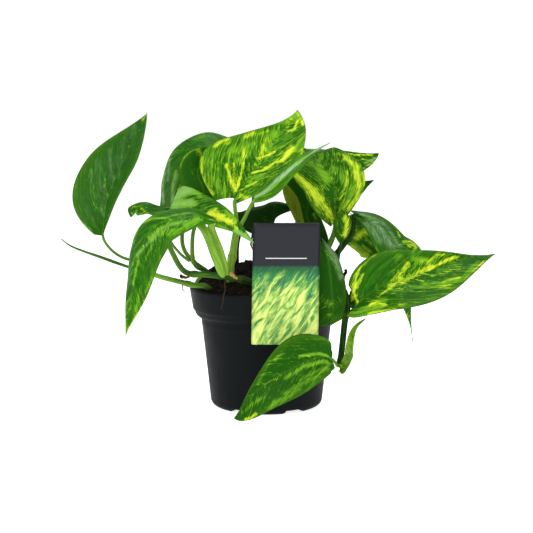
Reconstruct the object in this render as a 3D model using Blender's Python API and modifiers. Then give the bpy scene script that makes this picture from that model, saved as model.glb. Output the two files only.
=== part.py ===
# A variegated pothos in a round plastic nursery pot, with a folded plant label stuck in the soil.
# All sizes below are millimetres; the mesh is written in metres. +Z is up, the front of the pot
# faces -Y, and the origin is the middle of the pot's underside.

import math

import bmesh
import bpy
import numpy as np
from mathutils import Vector

MM = 0.001
GAP = 0.3                     # room between two pieces that touch
HOLE_ROOM = 1.1               # a many-sided hole is wider than its stem by this much of the gap

# Pot, a turned shell
POT_HEIGHT = 93.0
RIM_RADIUS = 60.0
LIP_ROUNDING = 0.5
RIM_FOOT_RADIUS = 57.4        # outside of the rim band, at its lower edge
RIM_BAND_HEIGHT = 17.0
STEP_HEIGHT = 6.0             # the curved shoulder between rim band and body
BODY_TOP_RADIUS = 51.2
BASE_RADIUS = 42.6
BASE_ROUNDING = 5.0
POT_WALL = 1.8
POT_FLOOR = 2.4
FLOOR_INSET = 1.0             # the floor's edge lies this much further in than the wall
CURVE_STEPS = 4               # straight pieces in each rounded corner of the profile
POT_STEPS = 40
FOOT_NOTCHES = 6              # drain slots through the lower edge
FOOT_NOTCH_WIDTH = 16.0
FOOT_NOTCH_HEIGHT = 3.2
FOOT_NOTCH_DEPTH = 14.0
FOOT_NOTCH_NARROWING = 0.8    # its width at the top against its width at the foot
FIRST_NOTCH_ANGLE = math.radians(-61.5)

# Soil, a mound that fills the pot
SOIL_EDGE_HEIGHT = 88.0
SOIL_CROWN = 14.0             # rise of the mound above its edge
SOIL_CROWN_BACK = 11.0        # how far the mound's middle lies behind the axis
SOIL_LUMP = 1.5
SOIL_RINGS = 7
SOIL_STEPS = 32

# Label, one strip of sheet folded at the top
LABEL_WIDTH = 49.0
LABEL_TOP = 147.0
LABEL_BOTTOM = 58.0
LABEL_THICKNESS = 0.7
LABEL_CENTRE_X = 14.6
LABEL_FRONT_Y = -61.4
LABEL_LEG_Y = -54.8           # the back leg stands just inside the rim
LABEL_FOOT_Y = -46.0
LABEL_LEG_WIDTH = 14.0
LABEL_LEG_SHIFT = -9.0        # the leg lies left of the panel's middle
LABEL_LEG_FOOT = 68.0
LABEL_LEAN = 0.7              # how much further forward the lower edge stands
LABEL_SHOULDER_DROP = 16.0    # length over which the back narrows to its leg
LABEL_FOLD = 2.3              # how far apart front and back stand under the fold
LABEL_RIM_LEVEL = 95.0        # height at which front and leg stand straight
LABEL_POINT = 1.2             # half the width of the leg's foot

# Building sizes
CURVE_READINGS = 24           # places worked out between two points of a smooth path
MERGE_DISTANCE = 0.00001      # metres
SHARP_ANGLE = math.radians(35)

# Blades and stalks
BLADE_THICKNESS = 0.7
BLADE_ROWS = 11
BLADE_COLUMNS = 6
STALK_POINT_SPACING = 9.0
ROOT_POINT_SPACING = 4.0
VINE_POINT_SPACING = 6.0
STALK_SIDES_LEVEL = 1
VINE_SIDES_LEVEL = 2
STALK_RUN_INTO_BLADE = 5.0    # the stalk goes on under the midrib, so the two fuse
STALK_UNDER_BLADE = 0.55
RIPPLE_RATE = 15.0            # ripples of a margin, in radians over the blade's length
RIPPLE_SLANT = 1.3
BASE_START = 0.03             # how blunt the blade is where the stalk meets it
ROW_SPREAD = 1.25             # above 1 the rows of a blade lie closer at its base
NODE_SWELLING = 0.22
NODE_LENGTH = 3.0

GREEN = (0.045, 0.19, 0.018, 1.0)
STEM_GREEN = (0.16, 0.33, 0.05, 1.0)

# Vines: points from the buried end to the growing end. joints are places along the vine, 0 to 1,
# where it is swollen. roots are thin aerial roots: points and radius.
VINES = {
    "vine_front": dict(
        points=[(6, -30, 80), (1, -36, 93), (-12, -43, 102), (-30, -46, 105), (-44, -45, 106.5),
                (-58, -40, 107), (-65, -33, 112), (-71, -25, 121), (-75, -19, 128)],
        radius=(2.7, 2.1), joints=(0.34, 0.66),
        roots=[([(-30, -46, 104), (-30.5, -52, 102), (-30.5, -58, 98.5), (-31, -61.6, 94), (-33, -61.4, 84)],
                0.55)]),
    "vine_left": dict(
        points=[(-38, -16, 76), (-41, -22, 90), (-46, -31, 97), (-54, -38, 98.6), (-65, -39, 101.5),
                (-82, -38, 106), (-92, -36, 110)],
        radius=(2.3, 1.8), joints=(0.55, 0.97),
        roots=[([(-62, -39, 101), (-63, -40, 97), (-61, -41, 93.5)], 0.5)]),
    "vine_centre": dict(
        points=[(-22, -20, 78), (-26, -25, 95), (-28.5, -28, 108), (-26.5, -29, 124), (-23.5, -30, 137),
                (-21.5, -30, 144)],
        radius=(2.8, 2.3), joints=(0.62, 0.97), roots=[]),
    "vine_back_left": dict(
        points=[(-36, 8, 80), (-41, 6, 93), (-47, 3, 104), (-54, 0, 109), (-59, 0, 115)],
        radius=(2.3, 2.0), joints=(0.8,), roots=[]),
    "vine_back": dict(
        points=[(-14, 20, 82), (-20, 17, 100), (-22, 14, 118), (-20, 14, 134)],
        radius=(2.2, 1.8), joints=(0.95,), roots=[]),
    "vine_right": dict(
        points=[(34, -12, 78), (41, -12, 95), (47, -14, 108), (51, -16, 118)],
        radius=(2.3, 2.0), joints=(0.93,), roots=[]),
    "vine_trailing": dict(
        points=[(32, -18, 76), (38, -23, 89), (46, -29, 97.5), (54, -36, 98.5), (60, -43, 93), (62, -48, 84),
                (59, -53, 73), (56, -57, 57), (54, -60, 41)],
        radius=(2.4, 1.6), joints=(0.62, 0.97), roots=[]),
}

# Leaves. rib runs from the stalk's end to the tip; face is where the upper side looks at the stalk,
# halfway and at the tip. Pairs are for the left and right half: width is how wide it is, widest
# where that lies along the rib, point how drawn out its tip is. lobe is how far the heart-shaped
# base reaches back; fold lifts the two halves (degrees, below zero they droop); curl bends the
# margins further; wave is the margin's ripple.
LEAVES = {
    "leaf_far_left": dict(
        stem="vine_left", stalk=[(-90, -35, 110.5), (-96, -33.5, 115), (-110, -33, 120), (-119, -31, 127)],
        rib=[(-123, -30, 134), (-119, -31, 158), (-115, -31, 175), (-104, -29, 200), (-87, -25, 228)],
        face=[(-0.45, -0.9, 0.1), (-0.45, -0.9, 0.1), (-0.3, -0.95, 0.1)],
        width=(29.5, 17), widest=(0.3, 0.58), point=(1.35, 1.1), lobe=-2, fold=26, curl=-3, wave=0.6),
    "leaf_back_left": dict(
        stem="vine_front", stalk=[(-75, -19, 128), (-79, -10, 136), (-82, 0, 146)],
        rib=[(-83, 8, 155), (-82, 14, 176), (-72, 18, 199), (-47, 22, 211), (-20, 26, 203)],
        face=[(-1, 0, 0.1), (-0.7, -0.1, 0.7), (0.1, 0, 1)],
        width=(25, 22), widest=(0.3, 0.35), point=(1.3, 1.0), lobe=6, fold=-28, curl=-3, wave=0.8),
    "leaf_inner_left": dict(
        stem="vine_back_left", stalk=[(-56, 2, 112), (-57, 3, 123), (-56, 5, 137), (-51, 8, 150)],
        rib=[(-47, 9, 158), (-51, 10, 172), (-56, 12, 184), (-58, 14, 196)],
        face=[(0.1, -0.9, 0.4), (0.1, -1, 0.2), (0.1, -1, 0.1)],
        width=(15, 16), widest=(0.4, 0.4), point=(0.9, 0.9), lobe=4, fold=8, curl=0, wave=0.6),
    "leaf_top_centre": dict(
        stem="vine_centre", stalk=[(-22, -30, 142), (-23, -29.5, 151), (-24, -27, 159)],
        rib=[(-24, -25, 164), (-15, -28, 179), (-5, -29, 194), (9, -26, 212), (24, -19, 230)],
        face=[(-0.1, -0.9, 0.45), (-0.15, -0.95, 0.3), (-0.2, -0.95, 0.1)],
        width=(35.5, 26), widest=(0.22, 0.66), point=(1.7, 0.75), lobe=8, fold=5, curl=-2, wave=1.2),
    "leaf_edge_on": dict(
        stem="vine_centre", stalk=[(-21.5, -31, 140), (-17.5, -34, 147), (-12, -41, 158)],
        rib=[(-9, -44, 165), (3, -53, 174), (17, -56, 187), (33, -53, 198), (48, -46, 206)],
        face=[(-0.5, -0.35, 0.8), (-0.5, -0.3, 0.8), (-0.5, -0.1, 0.85)],
        width=(11, 14), widest=(0.35, 0.48), point=(1.3, 1.3), lobe=2, fold=-4, curl=-3, wave=0.5),
    "leaf_front_left": dict(
        stem="vine_front", stalk=[(-30.5, -49, 107), (-35, -52, 124), (-41, -55, 142)],
        rib=[(-45, -57.5, 152), (-58, -64, 154), (-76, -70, 146), (-88, -74, 130), (-95, -75, 101),
             (-102, -71, 63)],
        face=[(-0.1, -0.6, 0.8), (-0.6, -0.75, 0.5), (-0.5, -0.85, 0.1)],
        width=(20.5, 14), widest=(0.36, 0.4), point=(1.15, 1.2), lobe=3, fold=-10, curl=-2, wave=0.8),
    "leaf_front_small": dict(
        stem="vine_front", stalk=[(-32, -44.5, 107), (-38, -43, 120), (-49, -38, 142), (-64, -32, 154)],
        rib=[(-71, -30, 157), (-58, -33, 158), (-42, -41, 155), (-22, -55, 146), (-8, -65, 131)],
        face=[(-0.1, -0.75, 0.6), (0.1, -0.8, 0.55), (0.4, -0.8, 0.3)],
        width=(21, 12), widest=(0.12, 0.6), point=(3.0, 1.0), lobe=6, fold=-6, curl=-2, wave=0.6),
    "leaf_left_behind": dict(
        stem="vine_back_left", stalk=[(-60, -2, 113), (-67, -4, 119), (-74, -8, 129), (-76, -15, 141)],
        rib=[(-76, -22, 151), (-84, -30, 156), (-94, -36, 157), (-101, -39, 155), (-103, -40, 149)],
        face=[(-0.2, -0.4, 0.9), (-0.4, -0.5, 0.8), (-0.9, -0.3, 0.3)],
        width=(12, 12), widest=(0.45, 0.45), point=(0.9, 0.9), lobe=3, fold=-15, curl=0, wave=0.5),
    "leaf_right_upright": dict(
        stem="vine_right", stalk=[(50, -16, 114), (48, -18.5, 124), (50, -19.5, 136)],
        rib=[(53, -18, 145), (50, -25, 164), (45, -23, 182), (40, -9, 195), (37, 4, 198)],
        face=[(0, -0.95, 0.3), (-0.05, -0.85, 0.5), (0, -0.4, 0.9)],
        width=(22, 29), widest=(0.55, 0.52), point=(0.5, 0.8), lobe=5, fold=6, curl=-2, wave=1.0),
    "leaf_right_back": dict(
        stem="soil", stalk=[(18, 36, 82), (19, 37, 110), (21, 35, 145), (21, 28, 170)],
        rib=[(22, 23, 178), (45, 22, 187), (68, 22, 191), (90, 23, 195)],
        face=[(-0.2, -0.8, 0.6), (-0.2, -0.85, 0.5), (-0.1, -0.9, 0.3)],
        width=(23, 16), widest=(0.15, 0.6), point=(2.0, 0.7), lobe=4, fold=6, curl=-2, wave=0.6),
    "leaf_right_far": dict(
        stem="soil", stalk=[(30, 24, 82), (36, 26, 110), (46, 30, 140)],
        rib=[(52, 31, 150), (64, 32, 161), (75, 33, 168), (87, 33, 175)],
        face=[(-0.3, -0.7, 0.7), (-0.4, -0.7, 0.6), (-0.3, -0.7, 0.6)],
        width=(12, 10), widest=(0.35, 0.35), point=(1.3, 1.3), lobe=3, fold=10, curl=0, wave=0.4),
    "leaf_right_arching": dict(
        stem="vine_right", stalk=[(52, -15.5, 116), (57, -14, 129), (64, -12, 144)],
        rib=[(69, -11, 149), (83, -14, 145), (98, -17, 133), (110, -18, 115), (111, -14, 86), (114, -10, 48)],
        face=[(0, -0.6, 0.8), (0.5, -0.7, 0.5), (0.6, -0.7, 0.1)],
        width=(14, 20), widest=(0.4, 0.32), point=(2.6, 2.6), lobe=4, fold=-10, curl=-2, wave=0.7),
    "leaf_right_lower": dict(
        stem="soil", stalk=[(43, 2, 80), (49, 3, 105), (56, 4, 128)],
        rib=[(62, 5, 137), (76, 9, 135), (92, 12, 127), (104, 12, 113)],
        face=[(0, -0.8, 0.6), (0.2, -0.8, 0.5), (0.5, -0.7, 0.3)],
        width=(15, 23), widest=(0.3, 0.35), point=(1.3, 1.2), lobe=5, fold=4, curl=-1, wave=0.6),
    "leaf_right_small": dict(
        stem="vine_trailing", stalk=[(52, -34, 98), (53, -33, 110), (55, -31, 124)],
        rib=[(56, -31, 131), (59, -32, 141), (58, -33, 150), (53, -34, 158)],
        face=[(-0.1, -0.9, 0.3), (-0.1, -0.95, 0.1), (-0.1, -0.95, 0.1)],
        width=(7, 5), widest=(0.4, 0.4), point=(1.2, 1.2), lobe=2, fold=14, curl=0, wave=0.3),
    "leaf_big_right": dict(
        stem="vine_trailing", stalk=[(62, -47.5, 85), (65, -48, 84)],
        rib=[(68, -48, 83.5), (79, -52, 91), (94, -56, 101), (110, -58, 110), (134, -56, 119),
             (169, -47, 123)],
        face=[(-0.2, -0.8, 0.6), (-0.1, -0.8, 0.6), (0.1, -0.8, 0.6)],
        width=(27, 24), widest=(0.25, 0.5), point=(2.0, 1.1), lobe=13, fold=8, curl=-2, wave=0.9),
    "leaf_by_label": dict(
        stem="soil", stalk=[(30, -24, 80), (33, -28, 96), (36, -36, 112), (39, -43, 124)],
        rib=[(41, -48, 128), (46, -54, 114), (46, -57, 96), (39, -58, 78), (29, -58, 66)],
        face=[(0.4, -0.7, 0.6), (0.2, -0.95, 0.1), (0.05, -1, 0)],
        width=(13, 14), widest=(0.55, 0.55), point=(0.7, 0.9), lobe=4, fold=-8, curl=0, wave=0.5),
    "leaf_curled": dict(
        stem="vine_trailing", stalk=[(54, -60, 42), (56, -60, 38)],
        rib=[(59, -59, 39), (63, -57, 48), (65, -54, 60), (73, -50, 76)],
        face=[(-0.8, -0.6, 0.2), (-0.8, -0.6, 0.2), (-0.8, -0.6, 0.2)],
        width=(8, 7), widest=(0.25, 0.25), point=(1.2, 1.2), lobe=1, fold=55, curl=0, wave=0.2),
    "leaf_front_low": dict(
        stem="vine_trailing", stalk=[(54, -60, 42.5), (52, -66, 43)],
        rib=[(48, -72, 49), (36, -79, 54), (15, -87, 43), (-5, -91, 28), (-24, -90, 10)],
        face=[(0.1, -0.9, 0.4), (0.1, -0.85, 0.5), (-0.1, -0.8, 0.55)],
        width=(21, 18), widest=(0.45, 0.26), point=(0.7, 1.2), lobe=3, fold=12, curl=-2, wave=0.7),
    "leaf_back_centre": dict(
        stem="vine_back", stalk=[(-20, 14, 132.5), (-20, 17, 141)],
        rib=[(-18, 21, 148), (-5, 23, 155), (10, 24, 160), (24, 24, 165)],
        face=[(0.2, -0.4, 1), (0.2, -0.7, 0.9), (0.3, -0.6, 0.9)],
        width=(11, 13), widest=(0.35, 0.5), point=(1.2, 0.9), lobe=4, fold=-25, curl=0, wave=0.5),
    "leaf_olive": dict(
        stem="soil", stalk=[(24, -2, 82), (27, -1, 110), (29, 0, 127)],
        rib=[(29, 1, 134), (25, 3, 148), (19, 5, 163), (13, 7, 176)],
        face=[(-0.3, -0.9, 0.2), (-0.3, -0.9, 0.2), (-0.3, -0.9, 0.2)],
        width=(9, 9), widest=(0.4, 0.4), point=(1.2, 1.2), lobe=3, fold=15, curl=0, wave=0.4),
    "leaf_dark_centre": dict(
        stem="soil", stalk=[(34, 12, 80), (41, 14, 100), (46, 16, 112)],
        rib=[(46, 17, 119), (38, 17, 138), (34, 17, 158), (29, 16, 174)],
        face=[(0, -0.9, 0.3), (0, -0.95, 0.2), (0, -0.95, 0.2)],
        width=(13, 12), widest=(0.4, 0.4), point=(1.0, 1.0), lobe=5, fold=6, curl=0, wave=0.5),
    "leaf_rear_upright": dict(
        stem="soil", stalk=[(-6, 36, 82), (-7, 44, 110), (-7, 48, 140), (-9, 50, 160)],
        rib=[(-10, 52, 168), (-12, 58, 182), (-15, 61, 194), (-18, 62, 204)],
        face=[(0, 0.9, 0.3), (0, 0.95, -0.1), (0, 1, 0)],
        width=(22, 22), widest=(0.35, 0.35), point=(1.2, 1.2), lobe=6, fold=6, curl=-2, wave=1.0),
    "leaf_rear_right": dict(
        stem="soil", stalk=[(26, 38, 80), (29, 46, 95), (32, 54, 100)],
        rib=[(34, 60, 103), (39, 72, 105), (42, 84, 96), (43, 92, 78), (42, 96, 54)],
        face=[(0, 0.3, 1), (0.1, 0.7, 0.6), (0.1, 1, 0.1)],
        width=(18, 18), widest=(0.33, 0.33), point=(1.3, 1.3), lobe=6, fold=-8, curl=-2, wave=0.8),
    "leaf_rear_left": dict(
        stem="soil", stalk=[(-26, 38, 80), (-28, 47, 94), (-30, 54, 98)],
        rib=[(-32, 60, 100), (-37, 72, 102), (-41, 84, 95), (-43, 93, 77), (-42, 97, 52)],
        face=[(0, 0.3, 1), (-0.1, 0.7, 0.6), (-0.1, 1, 0.1)],
        width=(22, 22), widest=(0.33, 0.33), point=(1.3, 1.3), lobe=6, fold=-8, curl=-2, wave=0.9),
    "leaf_rear_low": dict(
        stem="soil", stalk=[(6, 40, 80), (9, 46, 108), (12, 56, 120)],
        rib=[(13, 63, 123), (15, 77, 121), (17, 90, 106), (17, 96, 82), (15, 97, 56)],
        face=[(0, 0.4, 1), (0, 0.8, 0.5), (0, 1, 0)],
        width=(20, 20), widest=(0.33, 0.33), point=(1.3, 1.3), lobe=6, fold=-8, curl=-2, wave=0.9),
    "leaf_rear_top": dict(
        stem="soil", stalk=[(14, 38, 80), (18, 42, 120), (31, 42, 155)],
        rib=[(36, 44, 164), (42, 50, 178), (50, 56, 186), (60, 62, 189)],
        face=[(0.2, 0.7, 0.6), (0.2, 0.7, 0.7), (0.3, 0.6, 0.7)],
        width=(18, 18), widest=(0.33, 0.33), point=(1.3, 1.3), lobe=5, fold=6, curl=-2, wave=0.8),
    "leaf_rear_side": dict(
        stem="vine_back_left",
        stalk=[(-59, 1, 114), (-64, 1, 121), (-66, 3, 130), (-65, 18, 143), (-59, 36, 150)],
        rib=[(-57, 44, 153), (-60, 54, 166), (-64, 60, 178), (-66, 64, 190)],
        face=[(-0.4, 0.8, 0.4), (-0.4, 0.85, 0.2), (-0.4, 0.9, 0.1)],
        width=(20, 19), widest=(0.33, 0.35), point=(1.3, 1.3), lobe=6, fold=6, curl=-2, wave=0.9),
}
STALK_RADIUS = (1.7, 1.2)     # at the vine and at the blade
THIN_STALK_RADIUS = (1.2, 0.9)
THIN_STALKS = ("leaf_front_low", "leaf_curled", "leaf_right_small", "leaf_far_left", "leaf_left_behind")

# The new leaf that is still rolled up: a spear on the end of the left vine
SPEAR_POINTS = [(-91, -37, 109), (-104, -36.5, 112.5), (-126, -34, 120), (-140, -32.5, 124.7),
                (-148, -31, 128), (-155, -30, 133)]
SPEAR_RADII = (1.0, 1.1, 1.2, 1.0, 0.7, 0.4)


def clear_scene():
    for old in list(bpy.data.objects):
        bpy.data.objects.remove(old, do_unlink=True)


def new_collection(name):
    made = bpy.data.collections.new(name)
    bpy.context.scene.collection.children.link(made)
    return made


def new_material(name, colour, roughness, metallic=0.0):
    made = bpy.data.materials.new(name)
    made.use_nodes = True
    shader = made.node_tree.nodes["Principled BSDF"]
    shader.inputs["Base Color"].default_value = colour
    shader.inputs["Roughness"].default_value = roughness
    shader.inputs["Metallic"].default_value = metallic
    return made


def smooth_path(points, count):
    # A Catmull-Rom curve through the points, read at count places that lie evenly along its length.
    knots = np.array(points, dtype=float)
    if len(knots) == 2:
        return knots[0] + np.linspace(0.0, 1.0, count)[:, None] * (knots[1] - knots[0])
    padded = np.vstack([2 * knots[0] - knots[1], knots, 2 * knots[-1] - knots[-2]])
    t = np.linspace(0.0, 1.0, CURVE_READINGS, endpoint=False)[:, None]
    runs = []
    for a, b, c, d in zip(padded, padded[1:], padded[2:], padded[3:]):
        runs.append(0.5 * (2 * b + (c - a) * t + (2 * a - 5 * b + 4 * c - d) * t**2
                           + (3 * b - a - 3 * c + d) * t**3))
    fine = np.vstack(runs + [knots[-1:]])
    along = np.concatenate([[0.0], np.cumsum(np.linalg.norm(np.diff(fine, axis=0), axis=1))])
    wanted = np.linspace(0.0, along[-1], count)
    return np.column_stack([np.interp(wanted, along, fine[:, k]) for k in range(3)])


def path_length(points):
    fine = smooth_path(points, 100)
    return float(np.linalg.norm(np.diff(fine, axis=0), axis=1).sum())


def unit(rows):
    return rows / np.linalg.norm(rows, axis=-1, keepdims=True)


def half_width(along, widest, point):
    # 1 at the widest place, about a quarter of that at the stalk and 0 at the tip.
    base_power = point * (widest + BASE_START) / (1 - widest)
    return ((along + BASE_START) / (widest + BASE_START))**base_power * ((1 - along) / (1 - widest))**point


def blade_points(leaf, along, across):
    # The blade's middle surface at along (0 stalk, 1 tip) and across (-1 left margin, 1 right margin).
    fine = smooth_path(leaf["rib"], 200)
    length = path_length(leaf["rib"])
    place = np.linspace(0.0, 1.0, 200)
    tangent = unit(np.gradient(fine, axis=0))
    faces = unit(np.array(leaf["face"], dtype=float))
    facing = np.column_stack([np.interp(place, (0.0, 0.5, 1.0), faces[:, k]) for k in range(3)])
    facing = unit(facing - (facing * tangent).sum(axis=1, keepdims=True) * tangent)
    sideways = np.cross(tangent, facing)
    left, right = leaf["width"]
    size = np.where(across < 0, left * half_width(along, leaf["widest"][0], leaf["point"][0]),
                    right * half_width(along, leaf["widest"][1], leaf["point"][1]))
    reach = np.abs(across)
    set_back = leaf["lobe"] / length * (1 - along)**3 * reach**1.5
    at = along - set_back
    inside = np.clip(at, 0.0, 1.0)

    def read(rows):
        return np.column_stack([np.interp(inside, place, rows[:, k]) for k in range(3)])

    tangents = unit(read(tangent))
    facings = unit(read(facing))
    centre = read(fine) + np.minimum(at, 0.0)[:, None] * length * tangents
    fold = math.radians(leaf["fold"])
    out = reach * size
    ripple = leaf["wave"] * reach**3 * np.sin(along * RIPPLE_RATE + across * RIPPLE_SLANT)
    ripple = ripple * np.sqrt(np.sin(math.pi * along).clip(0.0))
    lift = out * math.sin(fold) + leaf["curl"] * reach**2 * size / max(left, right) + ripple
    return (centre + (np.sign(across) * out * math.cos(fold))[:, None] * unit(read(sideways))
            + lift[:, None] * facings)


def mesh_object(name, mesh, collection, material=None):
    made = bpy.data.objects.new(name, mesh)
    collection.objects.link(made)
    if material:
        mesh.materials.clear()
        mesh.materials.append(material)
    return made


def evaluated_mesh(thing):
    # The object's mesh with its modifiers applied, in place of the object's own data.
    graph = bpy.context.evaluated_depsgraph_get()
    graph.update()
    return bpy.data.meshes.new_from_object(thing.evaluated_get(graph))


def tube(name, points, radii, spacing, sides_level, collection):
    # A closed tube along a smooth path whose radius changes evenly through the given radii.
    count = max(3, int(round(path_length(points) / spacing)) + 1)
    path = smooth_path(points, count)
    radius = np.interp(np.linspace(0, 1, count), np.linspace(0, 1, len(radii)), radii)
    return tube_through(name, path, radius, sides_level, collection)


def tube_through(name, path, radius, sides_level, collection):
    curve = bpy.data.curves.new(name, "CURVE")
    curve.dimensions = "3D"
    curve.bevel_depth = MM
    curve.bevel_resolution = sides_level
    curve.use_fill_caps = True
    spline = curve.splines.new("POLY")
    spline.points.add(len(path) - 1)
    for point, place, size in zip(spline.points, path, radius):
        point.co = (*(place * MM), 1.0)
        point.radius = size
    drawn = bpy.data.objects.new(name + "_curve", curve)
    collection.objects.link(drawn)
    mesh = evaluated_mesh(drawn)
    bpy.data.objects.remove(drawn, do_unlink=True)
    form = bmesh.new()
    form.from_mesh(mesh)
    bmesh.ops.remove_doubles(form, verts=form.verts, dist=MERGE_DISTANCE)
    bmesh.ops.recalc_face_normals(form, faces=form.faces)
    form.to_mesh(mesh)
    form.free()
    return mesh_object(name, mesh, collection)


def boolean(thing, operand, operation, keep_operand=False):
    step = thing.modifiers.new(operation.lower(), "BOOLEAN")
    step.operation = operation
    step.solver = "EXACT"
    step.object = operand
    mesh = evaluated_mesh(thing)
    thing.modifiers.clear()
    thing.data = mesh
    if not keep_operand:
        bpy.data.objects.remove(operand, do_unlink=True)


def vine_path(vine):
    # The vine's smooth path and its radius, which swells at each joint.
    length = path_length(vine["points"])
    count = int(round(length / VINE_POINT_SPACING)) + 1
    path = smooth_path(vine["points"], count)
    place = np.linspace(0.0, 1.0, count)
    radius = np.interp(place, (0.0, 1.0), vine["radius"])
    for joint in vine["joints"]:
        radius *= 1 + NODE_SWELLING * np.exp(-((place - joint) * length / NODE_LENGTH)**2)
    return path, radius


def build_vine(name, vine, parts, material):
    path, radius = vine_path(vine)
    stem = tube_through(name, path, radius, VINE_SIDES_LEVEL, parts)
    for points, size in vine["roots"]:
        root = tube(name + "_root", points, (size * 1.3, size), ROOT_POINT_SPACING, STALK_SIDES_LEVEL, parts)
        boolean(stem, root, "UNION")
    stem.data.materials.clear()
    stem.data.materials.append(material)
    return stem


def lengthened(path):
    # The same path with each end pushed out by the gap, for a hole that clears what stands in it.
    longer = path.copy()
    longer[0] += GAP * unit(path[0] - path[1])
    longer[-1] += GAP * unit(path[-1] - path[-2])
    return longer


def vine_cutter(name, vine, cutters):
    path, radius = vine_path(vine)
    radius = radius + HOLE_ROOM * GAP
    return tube_through(name + "_clearance", lengthened(path), radius, VINE_SIDES_LEVEL, cutters)


def stalk_points(leaf):
    # The stalk's own points, then a short run under the blade's midrib.
    rib = smooth_path(leaf["rib"], 60)
    length = path_length(leaf["rib"])
    step = int(STALK_RUN_INTO_BLADE / length * 60) + 1
    face = unit(np.array(leaf["face"][0], dtype=float))
    below = STALK_UNDER_BLADE * face
    return leaf["stalk"] + [tuple(rib[0] - below), tuple(rib[step] - below)]


def stalk_radii(name):
    return THIN_STALK_RADIUS if name in THIN_STALKS else STALK_RADIUS


def stalk_tube(name, leaf, clearance, collection):
    # The leaf's stalk, or with a clearance the plain hole in the soil that it stands in.
    points = stalk_points(leaf)
    count = max(3, int(round(path_length(points) / STALK_POINT_SPACING)) + 1)
    path = smooth_path(points, count)
    radius = np.interp(np.linspace(0, 1, count), (0, 1), stalk_radii(name)) + HOLE_ROOM * clearance
    if clearance:
        path = lengthened(path)
    return tube_through(name + "_stalk", path, radius, STALK_SIDES_LEVEL, collection)


def build_leaf(name, leaf, parts, material):
    form = bmesh.new()
    bmesh.ops.create_grid(form, x_segments=BLADE_COLUMNS, y_segments=BLADE_ROWS, size=1.0)
    grid = np.array([corner.co for corner in form.verts])
    placed = blade_points(leaf, ((grid[:, 1] + 1) / 2)**ROW_SPREAD, grid[:, 0]) * MM
    for corner, place in zip(form.verts, placed):
        corner.co = place
    bmesh.ops.remove_doubles(form, verts=form.verts, dist=2 * MERGE_DISTANCE)
    bmesh.ops.triangulate(form, faces=form.faces)
    mesh = bpy.data.meshes.new(name)
    form.to_mesh(mesh)
    form.free()
    blade = mesh_object(name, mesh, parts)
    shell = blade.modifiers.new("thickness", "SOLIDIFY")
    shell.thickness = BLADE_THICKNESS * MM
    shell.offset = 0.0
    blade.data = evaluated_mesh(blade)
    blade.modifiers.clear()
    stalk = stalk_tube(name, leaf, 0.0, parts)
    boolean(blade, stalk, "UNION")
    blade.data.materials.clear()
    blade.data.materials.append(material)
    return blade


def build_pot(parts, cutters, material):
    # Outer profile top to bottom, along the floor, then up the inside.
    body_top = POT_HEIGHT - RIM_BAND_HEIGHT - STEP_HEIGHT
    band_foot = POT_HEIGHT - RIM_BAND_HEIGHT
    outer = [(RIM_RADIUS - LIP_ROUNDING, POT_HEIGHT), (RIM_RADIUS, POT_HEIGHT - LIP_ROUNDING),
             (RIM_FOOT_RADIUS, band_foot)]
    turn = np.linspace(0.0, math.pi / 2, CURVE_STEPS + 1)[1:]
    outer += [(BODY_TOP_RADIUS + (RIM_FOOT_RADIUS - BODY_TOP_RADIUS) * math.cos(a),
               band_foot - STEP_HEIGHT * math.sin(a)) for a in turn]
    outer += [(BASE_RADIUS, BASE_ROUNDING)]
    outer += [(BASE_RADIUS - BASE_ROUNDING * (1 - math.cos(a)), BASE_ROUNDING * (1 - math.sin(a)))
              for a in turn]
    inner = [(0.0, POT_FLOOR), (BASE_RADIUS - POT_WALL - FLOOR_INSET, POT_FLOOR),
             (BODY_TOP_RADIUS - POT_WALL, body_top), (RIM_FOOT_RADIUS - POT_WALL, band_foot),
             (RIM_RADIUS - POT_WALL, POT_HEIGHT)]
    profile = outer + [(0.0, 0.0)] + inner
    pot = turned("pot", profile, POT_STEPS, parts, closed=True)
    for number in range(FOOT_NOTCHES):
        angle = FIRST_NOTCH_ANGLE + number * 2 * math.pi / FOOT_NOTCHES
        cut_notch(pot, angle, cutters)
    pot.data.materials.clear()
    pot.data.materials.append(material)
    return pot


def cut_notch(pot, angle, cutters):
    form = bmesh.new()
    bmesh.ops.create_cube(form, size=1.0)
    for corner in form.verts:
        corner.co.x = BASE_RADIUS - FOOT_NOTCH_DEPTH / 4 + corner.co.x * FOOT_NOTCH_DEPTH
        corner.co.y *= FOOT_NOTCH_WIDTH * (1.0 if corner.co.z < 0 else FOOT_NOTCH_NARROWING)
        corner.co.z = corner.co.z * 2 * FOOT_NOTCH_HEIGHT
        corner.co = corner.co * MM
    mesh = bpy.data.meshes.new("notch")
    form.to_mesh(mesh)
    form.free()
    cutter = mesh_object("notch", mesh, cutters)
    cutter.rotation_euler.z = angle
    bpy.context.view_layer.update()
    boolean(pot, cutter, "DIFFERENCE")


def turned(name, profile, steps, collection, closed):
    # A profile of (radius, height) turned round the Z axis.
    mesh = bpy.data.meshes.new(name)
    corners = [(r * MM, 0.0, z * MM) for r, z in profile]
    edges = [(k, k + 1) for k in range(len(profile) - 1)]
    if closed:
        edges.append((len(profile) - 1, 0))
    mesh.from_pydata(corners, edges, [])
    made = mesh_object(name, mesh, collection)
    spin = made.modifiers.new("turn", "SCREW")
    spin.steps = steps
    spin.render_steps = steps
    spin.use_merge_vertices = True
    spin.merge_threshold = 5 * MERGE_DISTANCE
    made.data = evaluated_mesh(made)
    made.modifiers.clear()
    form = bmesh.new()
    form.from_mesh(made.data)
    bmesh.ops.remove_doubles(form, verts=form.verts, dist=MERGE_DISTANCE)
    bmesh.ops.dissolve_degenerate(form, edges=form.edges, dist=MERGE_DISTANCE / 10)
    bmesh.ops.recalc_face_normals(form, faces=form.faces)
    form.to_mesh(made.data)
    form.free()
    return made


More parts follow.
